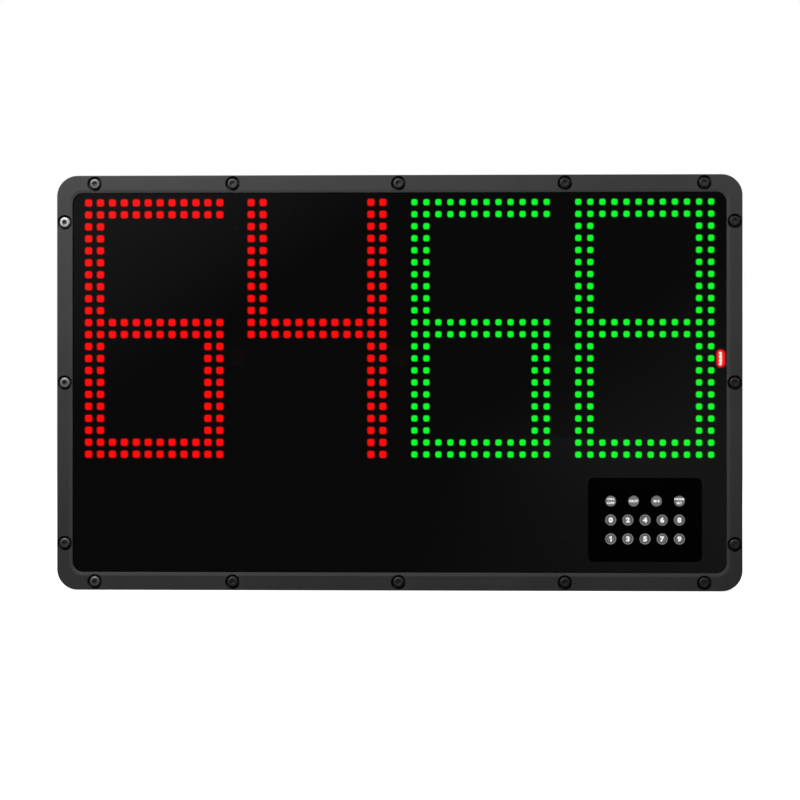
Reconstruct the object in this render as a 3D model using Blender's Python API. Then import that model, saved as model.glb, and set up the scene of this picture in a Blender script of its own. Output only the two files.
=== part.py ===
"""Substitution board: a sealed, battery-powered LED board that shows two two-digit player numbers.

The board stands upright on its lower edge. X runs to the right as a reader sees the digits, the
display faces -Y and Z is up. The origin is at the middle of the lower edge, half way through the
depth of the closed case. Pieces are stacked from the front face backwards, so most sizes along Y
are written as a depth behind that face.
"""
from math import asin
from math import cos
from math import pi
from math import radians
from math import sin

import bmesh
import bpy
from mathutils import Vector

# LED matrix of one digit, in metres as every size below
led_pitch = 0.0116
led_size = 0.0074
led_height = 0.0030
led_columns = 12
led_rows = 22
stroke_leds = 2
board_edge_x = 0.0020
board_edge_z = 0.0030
circuit_thickness = 0.0016
digit_count = 4
digit_gap = 0.0190

# Clear room between the boards and the edges of the window opening
side_margin = 0.0085
top_margin = 0.0020
keypad_drop = 0.0157
bottom_margin = 0.0109

# Frame rails and their edges
side_rail = 0.0150
end_rail = 0.0170
outer_radius = 0.0200
opening_radius = 0.0100
outer_chamfer = 0.0008
lip_chamfer = 0.0026
lip_land = 0.0016
bezel_depth = 0.0120
corner_steps = 4
crease_angle = radians(25)

# Gap kept between pieces that touch, and the clearance of what passes through a hole
seat_gap = 0.0003
hole_clearance = 0.0003
same_point = 0.000001

# Window, its ledge under the bezel lip, and the gasket behind it
window_thickness = 0.0030
window_ledge = 0.0030
gasket_thickness = 0.0020
gasket_width = 0.0028
led_air = 0.0023

# Keypad
key_radius = 0.0054
key_collar = 0.0012
key_collar_thickness = 0.0010
key_proud = 0.0008
key_travel = 0.0008
key_pitch = 0.01644
key_row_pitch = 0.0182
keys_in_row = 5
function_keys = 4
key_sides = 10
fascia_side_margin = 0.0214
fascia_end_margin = 0.0220
fascia_radius = 0.0050
fascia_flange = 0.0030
fascia_flange_thickness = 0.0020
fascia_boss_radius = 0.0030
fascia_boss_inset = 0.0045
dome_height = 0.0031
dome_base_radius = 0.0045
dome_top_radius = 0.0030
mat_thickness = 0.0015
mat_border = 0.0080
keypad_pad = 0.0010

# Mounting plate and what stands on it
plate_thickness = 0.0020
plate_clearance = 0.0010
standoff_radius = 0.0030
standoff_inset = 0.0080
plate_screw_radius = 0.0015
plate_screw_head = 0.0028
plate_screw_head_height = 0.0015
plate_screw_length = 0.0100
post_radius = 0.0045
post_inset_z = 0.0330

# Rear housing
housing_wall = 0.0030
rear_radius = 0.0060
rear_steps = 3
rib_height = 0.0040
rib_thickness = 0.0025
rib_inset = 0.0150
rib_air = 0.0007
boss_half = 0.0080
pocket_land = 0.0005

# Bezel screws
screw_radius = 0.0030
screw_head_radius = 0.00525
screw_head_top_radius = 0.0036
screw_head_height = 0.0030
screw_recess = 0.0003
screw_length = 0.0210
screw_head_clearance = 0.00105
drill_overrun = 0.0010
hex_radius = 0.0023
hex_depth = 0.0018
side_screw_inset = 0.0073
end_screw_inset = 0.0080
end_screw_corner = 0.0365
side_screw_corner = 0.0450
inner_screw_offset = 0.1600
screw_sides = 12
shank_sides = 6

# Battery and its strap
cell_diameter = 0.0145
cell_length = 0.0505
cell_count = 8
cell_steps = 4
battery_height = 0.0700
strap_thickness = 0.0012
strap_width = 0.0180
strap_foot = 0.0100

# Control board, behind the plate
control_width = 0.1200
control_height = 0.1000
control_shift = 0.0070
control_air = 0.0047
control_standoff_inset = 0.0060
ribbon_width = 0.0200
ribbon_thickness = 0.0008
ribbon_rise = 0.0260
ribbon_end = 0.0280
ribbon_turn_steps = 4
connector_width = 0.0240
connector_margin = 0.0020
digit_connector_height = 0.0034
slot_width = 0.0090
slot_inset = 0.0080
lead_radius = 0.0020
lead_sides = 6
lead_steps = 9
lead_drop = 0.0180
lead_sweep = 0.0450

# Parts on the rear face of the control board: offset along X and Z, width, height and rise
processor = (-0.0200, 0.0100, 0.0140, 0.0140, 0.0018)
upper_driver = (-0.0420, 0.0300, 0.0100, 0.0060, 0.0016)
lower_driver = (-0.0420, 0.0120, 0.0100, 0.0060, 0.0016)
lead_socket = (0.0100, -0.0300, 0.0240, 0.0080, 0.0060)
coil = (-0.0300, -0.0300, 0.0120, 0.0120, 0.0070)

# Charge level indicator
level_width = 0.0065
level_length = 0.0300
level_led_pitch = 0.0036
level_led_size = 0.0022
level_led_height = 0.0012
level_leds = 4
level_drop = 0.0292
level_gap = 0.0006

# Charge socket and its weather flap, on the rear wall
socket_inset_x = 0.0200
socket_inset_z = 0.0250
socket_block = 0.0140
socket_barrel_radius = 0.0055
socket_flange_radius = 0.0080
socket_flange_thickness = 0.0015
socket_bore_radius = 0.0032
socket_bore_depth = 0.0090
socket_pin_radius = 0.0010
socket_pin_recess = 0.0030
socket_sides = 12
flap_width = 0.0180
flap_thickness = 0.0020
flap_reach = 0.0110
flap_pivot_rise = 0.0130
barrel_radius = 0.0026
barrel_steps = 7
pivot_radius = 0.0010
pivot_length = 0.0022
ear_thickness = 0.0030

# Carrying handles, on the rear wall
handle_spread = 0.4300
handle_span = 0.1100
handle_standoff = 0.0420
handle_grip_radius = 0.0080
handle_bend = 0.0220
handle_sides = 10
bend_steps = 4
foot_width = 0.0220
foot_length = 0.0360
foot_thickness = 0.0050
foot_margin = 0.0030
foot_radius = 0.0060
foot_screw_offset = 0.0170
handle_screw_radius = 0.0025
handle_screw_head = 0.0046
handle_screw_head_height = 0.0026
handle_screw_length = 0.0170
handle_boss_radius = 0.0060
handle_boss_height = 0.0100

# Plan of the display, from the digits outwards
matrix_width = (led_columns - 1) * led_pitch + led_size
matrix_height = (led_rows - 1) * led_pitch + led_size
digit_board_width = matrix_width + 2 * board_edge_x
digit_board_height = matrix_height + 2 * board_edge_z
digit_pitch = digit_board_width + digit_gap
fascia_width = (keys_in_row - 1) * key_pitch + 2 * fascia_side_margin
fascia_height = 2 * key_row_pitch + 2 * fascia_end_margin
opening_width = digit_count * digit_board_width + (digit_count - 1) * digit_gap + 2 * side_margin
opening_height = bottom_margin + fascia_height + keypad_drop + digit_board_height + top_margin
board_width = opening_width + 2 * side_rail
board_height = opening_height + 2 * end_rail
board_middle = board_height / 2
window_width = opening_width + 2 * window_ledge
window_height = opening_height + 2 * window_ledge
window_radius = opening_radius + window_ledge
digit_xs = [(i - (digit_count - 1) / 2) * digit_pitch for i in range(digit_count)]
fascia_bottom = end_rail + bottom_margin
fascia_z = fascia_bottom + fascia_height / 2
fascia_x = digit_xs[-1]
digit_z = fascia_bottom + fascia_height + keypad_drop + digit_board_height / 2

# Stack of depths behind the front face of the bezel
lip_depth = lip_chamfer + lip_land
window_front = lip_depth + seat_gap
window_back = window_front + window_thickness
gasket_front = window_back + seat_gap
gasket_back = gasket_front + gasket_thickness
tongue_front = gasket_back + seat_gap
joint_depth = bezel_depth + seat_gap
led_front = window_back + led_air
circuit_front = led_front + led_height
circuit_back = circuit_front + circuit_thickness
flange_front = window_back + seat_gap
flange_back = flange_front + fascia_flange_thickness
key_front = window_front - key_proud
collar_front = flange_back + seat_gap
collar_back = collar_front + key_collar_thickness
dome_front = collar_back + key_travel + seat_gap
mat_front = dome_front + dome_height
mat_back = mat_front + mat_thickness
keypad_board_front = mat_back + seat_gap
keypad_board_back = keypad_board_front + circuit_thickness
plate_front = keypad_board_back + seat_gap + keypad_pad
plate_back = plate_front + plate_thickness
battery_front = plate_back + seat_gap
battery_back = battery_front + cell_diameter
strap_front = battery_back + seat_gap
strap_back = strap_front + strap_thickness
floor_depth = strap_back + rib_air + rib_height
case_depth = floor_depth + housing_wall
control_front = plate_back + control_air + seat_gap
control_back = control_front + circuit_thickness
control_x = fascia_x - control_shift
control_z = board_middle
socket_x = control_x + control_width / 2 - socket_inset_x
socket_z = control_z + control_height / 2 - socket_inset_z
flange_seat = case_depth + seat_gap
flange_top = flange_seat + socket_flange_thickness
flap_under = flange_top + seat_gap
pivot_depth = flap_under + flap_thickness / 2
pivot_z = socket_z + flap_pivot_rise


def to_y(depth):
    """Y of a depth behind the front face."""
    return depth - case_depth / 2


def rounded(width, height, radius, centre=(0.0, board_middle), steps=corner_steps):
    """Outline of a rectangle with round corners, as (x, z) points."""
    points = []
    for corner, (side_x, side_z) in enumerate(((1, 1), (-1, 1), (-1, -1), (1, -1))):
        middle_x = centre[0] + side_x * (width / 2 - radius)
        middle_z = centre[1] + side_z * (height / 2 - radius)
        for step in range(steps + 1):
            angle = (corner + step / steps) * pi / 2
            points.append((middle_x + radius * cos(angle), middle_z + radius * sin(angle)))
    return points


def rectangle(width, height, centre):
    """Outline of a plain rectangle."""
    x, z = centre
    half_x = width / 2
    half_z = height / 2
    signs = ((1, 1), (-1, 1), (-1, -1), (1, -1))
    return [(x + side_x * half_x, z + side_z * half_z) for side_x, side_z in signs]


def circle(radius, centre, sides):
    """Regular outline with its corners on the given radius and a flat side towards +X."""
    angles = [pi * (2 * i + 1) / sides for i in range(sides)]
    return [(centre[0] + radius * cos(a), centre[1] + radius * sin(a)) for a in angles]


class Solid:
    """One closed piece, built from rings of points, walls between rings and flat faces inside rings."""

    def __init__(self):
        self.shape = bmesh.new()

    def loop(self, points):
        """A closed ring through points in space."""
        return [self.shape.verts.new(point) for point in points]

    def ring(self, outline, depth):
        """An outline of (x, z) points placed at a depth behind the front face."""
        return self.loop([(x, to_y(depth), z) for x, z in outline])

    def wall(self, *rings):
        """Walls from each ring to the next, and the last ring back."""
        for near, far in zip(rings, rings[1:]):
            for i, corner in enumerate(near):
                following = (i + 1) % len(near)
                self.shape.faces.new((corner, near[following], far[following], far[i]))
        return rings[-1]

    def face(self, *rings):
        """The flat face between an outer ring and the rings that lie inside it."""
        edges = []
        for ring in rings:
            for start, end in zip(ring, ring[1:] + ring[:1]):
                edges.append(self.shape.edges.get((start, end)) or self.shape.edges.new((start, end)))
        bmesh.ops.triangle_fill(self.shape, use_beauty=True, edges=edges)

    def prism(self, outline, front, back, front_rings=(), back_rings=()):
        """A straight wall between two depths, with faces that leave room for other rings."""
        near = self.ring(outline, front)
        far = self.ring(outline, back)
        self.wall(near, far)
        self.face(near, *front_rings)
        self.face(far, *back_rings)

    def bump(self, outline, base, top):
        """A block that rises from, or a pocket that sinks into, a face at the depth base."""
        foot = self.ring(outline, base)
        crown = self.ring(outline, top)
        self.wall(foot, crown)
        self.face(crown)
        return foot

    def hole(self, outline, start, end):
        """A straight hole between two faces, as its two end rings."""
        near = self.ring(outline, start)
        far = self.ring(outline, end)
        self.wall(near, far)
        return near, far

    def make(self, name, material, origin=(0.0, 0.0, 0.0)):
        """Turn the faces outwards and put the piece in the scene, with its own origin."""
        bmesh.ops.recalc_face_normals(self.shape, faces=self.shape.faces)
        bmesh.ops.translate(self.shape, verts=self.shape.verts, vec=-Vector(origin))
        data = bpy.data.meshes.new(name)
        self.shape.to_mesh(data)
        self.shape.free()
        data.materials.append(material)
        data.set_sharp_from_angle(angle=crease_angle)
        piece = bpy.data.objects.new(name, data)
        piece.location = origin
        bpy.context.scene.collection.objects.link(piece)
        return piece


def finish(name, colour, roughness, metallic=0.0):
    """A material with the piece's own colour, roughness and metallic value."""
    material = bpy.data.materials.new(name)
    material.use_nodes = True
    shader = material.node_tree.nodes["Principled BSDF"]
    shader.inputs["Base Color"].default_value = (*colour, 1.0)
    shader.inputs["Roughness"].default_value = roughness
    shader.inputs["Metallic"].default_value = metallic
    material.diffuse_color = (*colour, 1.0)
    return material


def cut(piece, tool):
    """Take the shape of a hidden tool out of a piece."""
    tool.hide_render = True
    tool.display_type = "WIRE"
    step = piece.modifiers.new(tool.name, "BOOLEAN")
    step.operation = "DIFFERENCE"
    step.solver = "EXACT"
    step.object = tool


def screw_places():
    """Centres of the bezel screws, clockwise from the upper left corner."""
    side_x = board_width / 2 - side_screw_inset
    corner_x = board_width / 2 - end_screw_corner
    top_z = board_height - end_screw_inset
    upper_z = board_height - side_screw_corner
    end_xs = (-corner_x, -inner_screw_offset, 0.0, inner_screw_offset, corner_x)
    side_zs = (upper_z, board_middle, side_screw_corner)
    places = [(x, top_z) for x in end_xs]
    places += [(side_x, z) for z in side_zs]
    places += [(x, end_screw_inset) for x in reversed(end_xs)]
    places += [(-side_x, z) for z in reversed(side_zs)]
    return places


def make_bezel(material):
    """Moulded ring that frames the window and clamps it, with sixteen counterbored holes."""
    bezel = Solid()
    front = bezel.ring(rounded(board_width - 2 * outer_chamfer, board_height - 2 * outer_chamfer,
                               outer_radius - outer_chamfer), 0.0)
    edge = bezel.ring(rounded(board_width, board_height, outer_radius), outer_chamfer)
    back = bezel.ring(rounded(board_width, board_height, outer_radius), bezel_depth)
    bezel.wall(front, edge, back)
    flare = bezel.ring(rounded(opening_width + 2 * lip_chamfer, opening_height + 2 * lip_chamfer,
                               opening_radius + lip_chamfer), 0.0)
    lip = bezel.ring(rounded(opening_width, opening_height, opening_radius), lip_chamfer)
    lip_back = bezel.ring(rounded(opening_width, opening_height, opening_radius), lip_depth)
    rebate_size = (window_width + 2 * seat_gap, window_height + 2 * seat_gap, window_radius + seat_gap)
    rebate = bezel.ring(rounded(*rebate_size), lip_depth)
    rebate_back = bezel.ring(rounded(*rebate_size), bezel_depth)
    bezel.wall(flare, lip, lip_back, rebate, rebate_back)
    bezel.face(front, flare)
    bezel.face(back, rebate_back)
    moulding = bezel.make("front_bezel", material)
    drill = Solid()
    shoulder_depth = screw_recess + screw_head_height + seat_gap
    for place in screw_places():
        recess = circle(screw_head_radius + screw_head_clearance, place, screw_sides)
        passage = circle(screw_radius + hole_clearance, place, shank_sides)
        mouth, shoulder = drill.hole(recess, -drill_overrun, shoulder_depth)
        neck, leave = drill.hole(passage, shoulder_depth, bezel_depth + drill_overrun)
        drill.face(mouth)
        drill.face(shoulder, neck)
        drill.face(leave)
    cut(moulding, drill.make("counterbore_drill", material))


def make_window(material):
    """Smoked sheet behind the bezel lip, cut out for the keypad fascia."""
    window = Solid()
    cutout = rounded(fascia_width, fascia_height, fascia_radius, (fascia_x, fascia_z))
    near, far = window.hole(cutout, window_front, window_back)
    outline = rounded(window_width, window_height, window_radius)
    window.prism(outline, window_front, window_back, [near], [far])
    window.make("display_window", material)


def make_gasket(material):
    """Foam ring pressed between the window and the tongue of the housing."""
    gasket = Solid()
    inner = rounded(window_width - 2 * gasket_width, window_height - 2 * gasket_width,
                    window_radius - gasket_width)
    near, far = gasket.hole(inner, gasket_front, gasket_back)
    outline = rounded(window_width, window_height, window_radius)
    gasket.prism(outline, gasket_front, gasket_back, [near], [far])
    gasket.make("window_gasket", material)


def is_lit_cell(column, row):
    """True where a figure eight has an LED in the grid of one digit."""
    in_side = column < stroke_leds or column >= led_columns - stroke_leds
    middle = (led_rows - stroke_leds) // 2
    in_middle = middle <= row < middle + stroke_leds
    return in_side or in_middle or row < stroke_leds or row >= led_rows - stroke_leds


def make_digit_board(number, centre_x, material):
    """Circuit board of one digit, with a square LED at each point of a figure eight."""
    board = Solid()
    leds = []
    for column in range(led_columns):
        for row in range(led_rows):
            if is_lit_cell(column, row):
                x = centre_x + (column - (led_columns - 1) / 2) * led_pitch
                z = digit_z + ((led_rows - 1) / 2 - row) * led_pitch
                leds.append(board.bump(rectangle(led_size, led_size, (x, z)), circuit_front, led_front))
    header_size = (connector_width, ribbon_width + 2 * connector_margin)
    header = rectangle(*header_size, (centre_x, control_z + ribbon_rise))
    connector = board.bump(header, circuit_back, circuit_back + digit_connector_height)
    outline = rectangle(digit_board_width, digit_board_height, (centre_x, digit_z))
    board.prism(outline, circuit_front, circuit_back, leds, [connector])
    board.make(f"digit_board_{number}", material)


def key_places():
    """Centre of each key by its name: four function keys over two rows of numbers."""
    places = {}
    row_width = (keys_in_row - 1) * key_pitch
    for i, name in enumerate(("on_off", "out", "in", "mode")):
        offset = (i / (function_keys - 1) - 0.5) * row_width
        places[name] = (fascia_x + offset, fascia_z + key_row_pitch)
    for number in range(2 * keys_in_row):
        offset = (number // 2 / (keys_in_row - 1) - 0.5) * row_width
        places[str(number)] = (fascia_x + offset, fascia_z - (number % 2) * key_row_pitch)
    return places


def fascia_bosses():
    """Centres of the four bosses that carry the keypad board behind the fascia."""
    half_x = fascia_width / 2 + fascia_flange - fascia_boss_inset
    half_z = fascia_height / 2 + fascia_flange - fascia_boss_inset
    return [(fascia_x + sx * half_x, fascia_z + sz * half_z) for sx in (-1, 1) for sz in (-1, 1)]


def make_fascia(material):
    """Keypad panel set in the window's cut-out, held from behind by its flange."""
    fascia = Solid()
    face_size = (fascia_width - 2 * seat_gap, fascia_height - 2 * seat_gap, fascia_radius - seat_gap)
    flange_size = (fascia_width + 2 * fascia_flange, fascia_height + 2 * fascia_flange,
                   fascia_radius + fascia_flange)
    centre = (fascia_x, fascia_z)
    front = fascia.ring(rounded(*face_size, centre), window_front)
    step = fascia.ring(rounded(*face_size, centre), flange_front)
    flange = fascia.ring(rounded(*flange_size, centre), flange_front)
    back = fascia.ring(rounded(*flange_size, centre), flange_back)
    fascia.wall(front, step, flange, back)
    mouths = []
    exits = []
    for place in key_places().values():
        outline = circle(key_radius + hole_clearance, place, key_sides)
        mouth, leave = fascia.hole(outline, window_front, flange_back)
        mouths.append(mouth)
        exits.append(leave)
    for place in fascia_bosses():
        exits.append(fascia.bump(circle(fascia_boss_radius, place, shank_sides), flange_back, mat_back))
    fascia.face(front, *mouths)
    fascia.face(back, *exits)
    fascia.make("keypad_fascia", material)


def make_keys(material):
    """Round keys that slide in the fascia, each kept in by a collar behind it."""
    for name, place in key_places().items():
        key = Solid()
        crown = key.ring(circle(key_radius, place, key_sides), key_front)
        neck = key.ring(circle(key_radius, place, key_sides), collar_front)
        collar = key.ring(circle(key_radius + key_collar, place, key_sides), collar_front)
        foot = key.ring(circle(key_radius + key_collar, place, key_sides), collar_back)
        key.wall(crown, neck, collar, foot)
        key.face(crown)
        key.face(foot)
        key.make(f"key_{name}", material, (place[0], to_y(key_front), place[1]))


def make_keypad_mat(material):
    """Silicone sheet with a dome under each key."""
    mat = Solid()
    domes = []
    for place in key_places().values():
        base = mat.ring(circle(dome_base_radius, place, shank_sides), mat_front)
        top = mat.ring(circle(dome_top_radius, place, shank_sides), dome_front)
        mat.wall(base, top)
        mat.face(top)
        domes.append(base)
    outline = rectangle(fascia_width - 2 * mat_border, fascia_height - 2 * mat_border, (fascia_x, fascia_z))
    mat.prism(outline, mat_front, mat_back, domes)
    mat.make("keypad_mat", material)


def make_keypad_board(material):
    """Contact board under the silicone sheet."""
    board = Solid()
    board_size = (fascia_width + 2 * fascia_flange, fascia_height + 2 * fascia_flange)
    outline = rectangle(*board_size, (fascia_x, fascia_z))
    board.prism(outline, keypad_board_front, keypad_board_back)
    board.make("keypad_board", material)


def corners(width, height, centre):
    """The four corners of a rectangle, as centres for standoffs or posts."""
    return [(centre[0] + sx * width / 2, centre[1] + sz * height / 2) for sx in (-1, 1) for sz in (-1, 1)]


def post_places():
    """Centres of the posts that carry the plate, in the gaps beside the outer digits."""
    gap_x = digit_pitch * (digit_count / 2 - 1)
    inset = end_rail + post_inset_z
    return [(sx * gap_x, z) for sx in (-1, 1) for z in (inset, board_height - inset)]


def level_centre():
    """Centre of the charge level board, in the margin beside the last digit."""
    x = digit_xs[-1] + digit_board_width / 2 + level_gap + level_width / 2
    return x, digit_z - level_drop


def make_plate(material):
    """Sheet-metal plate that carries every board, the battery and the keypad's back."""
    plate = Solid()
    fronts = []
    backs = []
    for x in digit_xs:
        for place in corners(digit_board_width - 2 * standoff_inset, digit_board_height - 2 * standoff_inset,
                             (x, digit_z)):
            fronts.append(plate.bump(circle(standoff_radius, place, shank_sides), plate_front,
                                     circuit_back + seat_gap))
    for place in fascia_bosses():
        fronts.append(plate.bump(circle(standoff_radius, place, shank_sides), plate_front,
                                 keypad_board_back + seat_gap))
    level_x, level_z = level_centre()
    for side in (-1, 1):
        place = (level_x, level_z + side * (level_length / 2 - standoff_radius))
        fronts.append(plate.bump(circle(standoff_radius, place, shank_sides), plate_front,
                                 circuit_back + seat_gap))
    for place in corners(control_width - 2 * control_standoff_inset,
                         control_height - 2 * control_standoff_inset, (control_x, control_z)):
        backs.append(plate.bump(circle(standoff_radius, place, shank_sides), plate_back,
                                control_front - seat_gap))
    for place in post_places():
        bore = circle(plate_screw_radius + hole_clearance, place, shank_sides)
        near, far = plate.hole(bore, plate_front, plate_back)
        fronts.append(near)
        backs.append(far)
    slot_x = digit_xs[-1] + digit_board_width / 2 - slot_inset
    slot = rectangle(slot_width, ribbon_width + 2 * connector_margin, (slot_x, control_z + ribbon_rise))
    near, far = plate.hole(slot, plate_front, plate_back)
    fronts.append(near)
    backs.append(far)
    outline = rounded(opening_width - 2 * plate_clearance, opening_height - 2 * plate_clearance,
                      opening_radius - plate_clearance)
    plate.prism(outline, plate_front, plate_back, fronts, backs)
    plate.make("mounting_plate", material)


def handle_screw_places():
    """Centres of the handle screws, two on each handle."""
    reach = handle_span / 2 + foot_screw_offset
    return [(sx * handle_spread / 2, board_middle + sz * reach) for sx in (-1, 1) for sz in (-1, 1)]


def housing_pockets():
    """Outlines of the cored pockets in the rails, between one screw boss and the next."""
    places = screw_places()
    outlines = []
    inner_land = window_ledge + pocket_land
    for start, end in zip(places, places[1:] + places[:1]):
        along_end = abs(start[1] - end[1]) < seat_gap
        along_side = abs(start[0] - end[0]) < seat_gap
        rail = end_rail if along_end else side_rail
        middle = (housing_wall + rail - inner_land) / 2
        width = rail - inner_land - housing_wall
        if along_end:
            z = middle if start[1] < board_middle else board_height - middle
            length = abs(start[0] - end[0]) - 2 * boss_half
            outlines.append(rectangle(length, width, ((start[0] + end[0]) / 2, z)))
        elif along_side:
            x = (board_width / 2 - middle) * (1 if start[0] > 0 else -1)
            length = abs(start[1] - end[1]) - 2 * boss_half
            outlines.append(rectangle(width, length, (x, (start[1] + end[1]) / 2)))
    return outlines


def make_housing(material):
    """Moulded tub: cored rails with screw bosses, a sealing tongue, ribs, posts and the flap's ears."""
    tub = Solid()
    joint = tub.ring(rounded(board_width, board_height, outer_radius), joint_depth)
    skin = [joint]
    for step in range(rear_steps + 1):
        angle = step / rear_steps * pi / 2
        inset = rear_radius * (1 - cos(angle))
        depth = case_depth - rear_radius * (1 - sin(angle))
        outline = rounded(board_width - 2 * inset, board_height - 2 * inset, outer_radius - inset)
        skin.append(tub.ring(outline, depth))
    tub.wall(*skin)
    tongue = rounded(window_width, window_height, window_radius)
    cavity = rounded(opening_width, opening_height, opening_radius)
    root = tub.ring(tongue, joint_depth)
    floor = tub.ring(cavity, floor_depth)
    tub.wall(root, tub.ring(tongue, tongue_front), tub.ring(cavity, tongue_front), floor)
    pocket_floor = case_depth - rear_radius
    joint_rings = [tub.bump(outline, joint_depth, pocket_floor) for outline in housing_pockets()]
    blind_depth = screw_recess + screw_head_height + screw_length + 3 * seat_gap
    for place in screw_places():
        bore = circle(screw_radius + hole_clearance, place, shank_sides)
        joint_rings.append(tub.bump(bore, joint_depth, blind_depth))
    tub.face(joint, root, *joint_rings)
    floor_rings = []
    back_rings = []
    for place in post_places():
        base = tub.ring(circle(post_radius, place, 2 * shank_sides), floor_depth)
        top = tub.ring(circle(post_radius, place, 2 * shank_sides), plate_back + seat_gap)
        tub.wall(base, top)
        bore_end = plate_front + plate_screw_length + seat_gap
        tub.face(top, tub.bump(circle(plate_screw_radius + hole_clearance, place, shank_sides),
                               plate_back + seat_gap, bore_end))
        floor_rings.append(base)
    for place in handle_screw_places():
        base = tub.ring(circle(handle_boss_radius, place, 2 * shank_sides), floor_depth)
        top = tub.ring(circle(handle_boss_radius, place, 2 * shank_sides), floor_depth - handle_boss_height)
        tub.wall(base, top)
        bore = circle(handle_screw_radius + hole_clearance, place, shank_sides)
        near, far = tub.hole(bore, floor_depth - handle_boss_height, case_depth)
        tub.face(top, near)
        floor_rings.append(base)
        back_rings.append(far)
    for i in range(digit_count):
        rib_x = (i - (digit_count - 1) / 2) * digit_pitch / 2
        rib = rectangle(rib_thickness, opening_height - 2 * rib_inset, (rib_x, board_middle))
        floor_rings.append(tub.bump(rib, floor_depth, floor_depth - rib_height))
    barrel_hole = circle(socket_barrel_radius + hole_clearance, (socket_x, socket_z), socket_sides)
    near, far = tub.hole(barrel_hole, floor_depth, case_depth)
    floor_rings.append(near)
    back_rings.append(far)
    ear_offset = flap_width / 2 + hole_clearance + ear_thickness / 2
    for side in (-1, 1):
        ear = rectangle(ear_thickness, 2 * barrel_radius, (socket_x + side * ear_offset, pivot_z))
        back_rings.append(tub.bump(ear, case_depth, pivot_depth + barrel_radius))
    tub.face(floor, *floor_rings)
    tub.face(skin[-1], *back_rings)
    housing = tub.make("rear_housing", material)
    pivot_cut = Solid()
    pivot_reach = flap_width / 2 + pivot_length + 2 * hole_clearance
    pivot_hole = circle(pivot_radius + hole_clearance, (pivot_depth, pivot_z), 2 * shank_sides)
    ends = [pivot_cut.loop([(socket_x + side * pivot_reach, to_y(depth), z) for depth, z in pivot_hole])
            for side in (-1, 1)]
    pivot_cut.wall(*ends)
    pivot_cut.face(ends[0])
    pivot_cut.face(ends[1])
    cut(housing, pivot_cut.make("ear_pivot_drill", material))


def make_bezel_screws(material):
    """Button-head screws with hexagon sockets, sunk in the bezel's counterbores."""
    head_front = screw_recess
    head_back = screw_recess + screw_head_height
    for number, place in enumerate(screw_places(), 1):
        screw = Solid()
        top = screw.ring(circle(screw_head_top_radius, place, screw_sides), head_front)
        rim = screw.ring(circle(screw_head_radius, place, screw_sides), head_back)
        screw.wall(top, rim)
        screw.face(top, screw.bump(circle(hex_radius, place, 6), head_front, head_front + hex_depth))
        shank = circle(screw_radius, place, shank_sides)
        screw.face(rim, screw.bump(shank, head_back, head_back + screw_length))
        screw.make(f"bezel_screw_{number:02d}", material)


def make_small_screw(name, place, under_head, direction, head_radius, head_height, radius, length, material):
    """A pan-head screw along Y, its head on one side of a depth and its shank on the other."""
    screw = Solid()
    top = screw.ring(circle(head_radius, place, 2 * shank_sides), under_head - direction * head_height)
    rim = screw.ring(circle(head_radius, place, 2 * shank_sides), under_head)
    screw.wall(top, rim)
    screw.face(top)
    shank = screw.bump(circle(radius, place, shank_sides), under_head, under_head + direction * length)
    screw.face(rim, shank)
    screw.make(name, material)


def make_plate_screws(material):
    """Screws that hold the mounting plate to the housing's posts."""
    for number, place in enumerate(post_places(), 1):
        make_small_screw(f"plate_screw_{number}", place, plate_front - seat_gap, 1, plate_screw_head,
                         plate_screw_head_height, plate_screw_radius, plate_screw_length, material)


def make_handle_screws(material):
    """Screws through the handle feet into the housing's bosses."""
    under_head = case_depth + seat_gap + foot_thickness + seat_gap
    for number, place in enumerate(handle_screw_places(), 1):
        make_small_screw(f"handle_screw_{number}", place, under_head, -1, handle_screw_head,
                         handle_screw_head_height, handle_screw_radius, handle_screw_length, material)


def grip_path():
    """Centre line of the bar of a handle, as (depth, z, direction angle) from the upper foot to the lower."""
    half = handle_span / 2
    start = case_depth + seat_gap + foot_thickness
    bar = case_depth + handle_standoff
    path = [(start, half, 0.0)]
    for end in (1, -1):
        for step in range(bend_steps + 1):
            angle = step / bend_steps * pi / 2
            turned = angle if end > 0 else angle + pi / 2
            depth = bar - handle_bend + handle_bend * sin(turned)
            z = end * (half - handle_bend) + handle_bend * cos(turned)
            path.append((depth, z, turned))
    path.append((start, -half, pi))
    return path


def make_handle(name, centre_x, material):
    """D-shaped carrying handle: a round bar bent at both ends into screwed feet."""
    handle = Solid()
    seat = case_depth + seat_gap
    path = grip_path()
    rings = []
    for depth, z, angle in path:
        points = []
        for across, out in circle(handle_grip_radius, (0.0, 0.0), handle_sides):
            y = to_y(depth + out * sin(angle))
            points.append((centre_x + across, y, board_middle + z + out * cos(angle)))
        rings.append(handle.loop(points))
    handle.wall(*rings)
    for side, leg in ((1, rings[0]), (-1, rings[-1])):
        foot_start = handle_span / 2 - handle_grip_radius - foot_margin
        foot_z = board_middle + side * (foot_start + foot_length / 2)
        outline = rounded(foot_width, foot_length, foot_radius, (centre_x, foot_z), 2)
        screw_z = board_middle + side * (handle_span / 2 + foot_screw_offset)
        bore = circle(handle_screw_radius + hole_clearance, (centre_x, screw_z), shank_sides)
        near, far = handle.hole(bore, seat, seat + foot_thickness)
        handle.prism(outline, seat, seat + foot_thickness, [near], [far, leg])
    handle.make(name, material)


def ribbon_lift():
    """Height at which the ribbon lies over the plate on either side."""
    return seat_gap + ribbon_thickness


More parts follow.
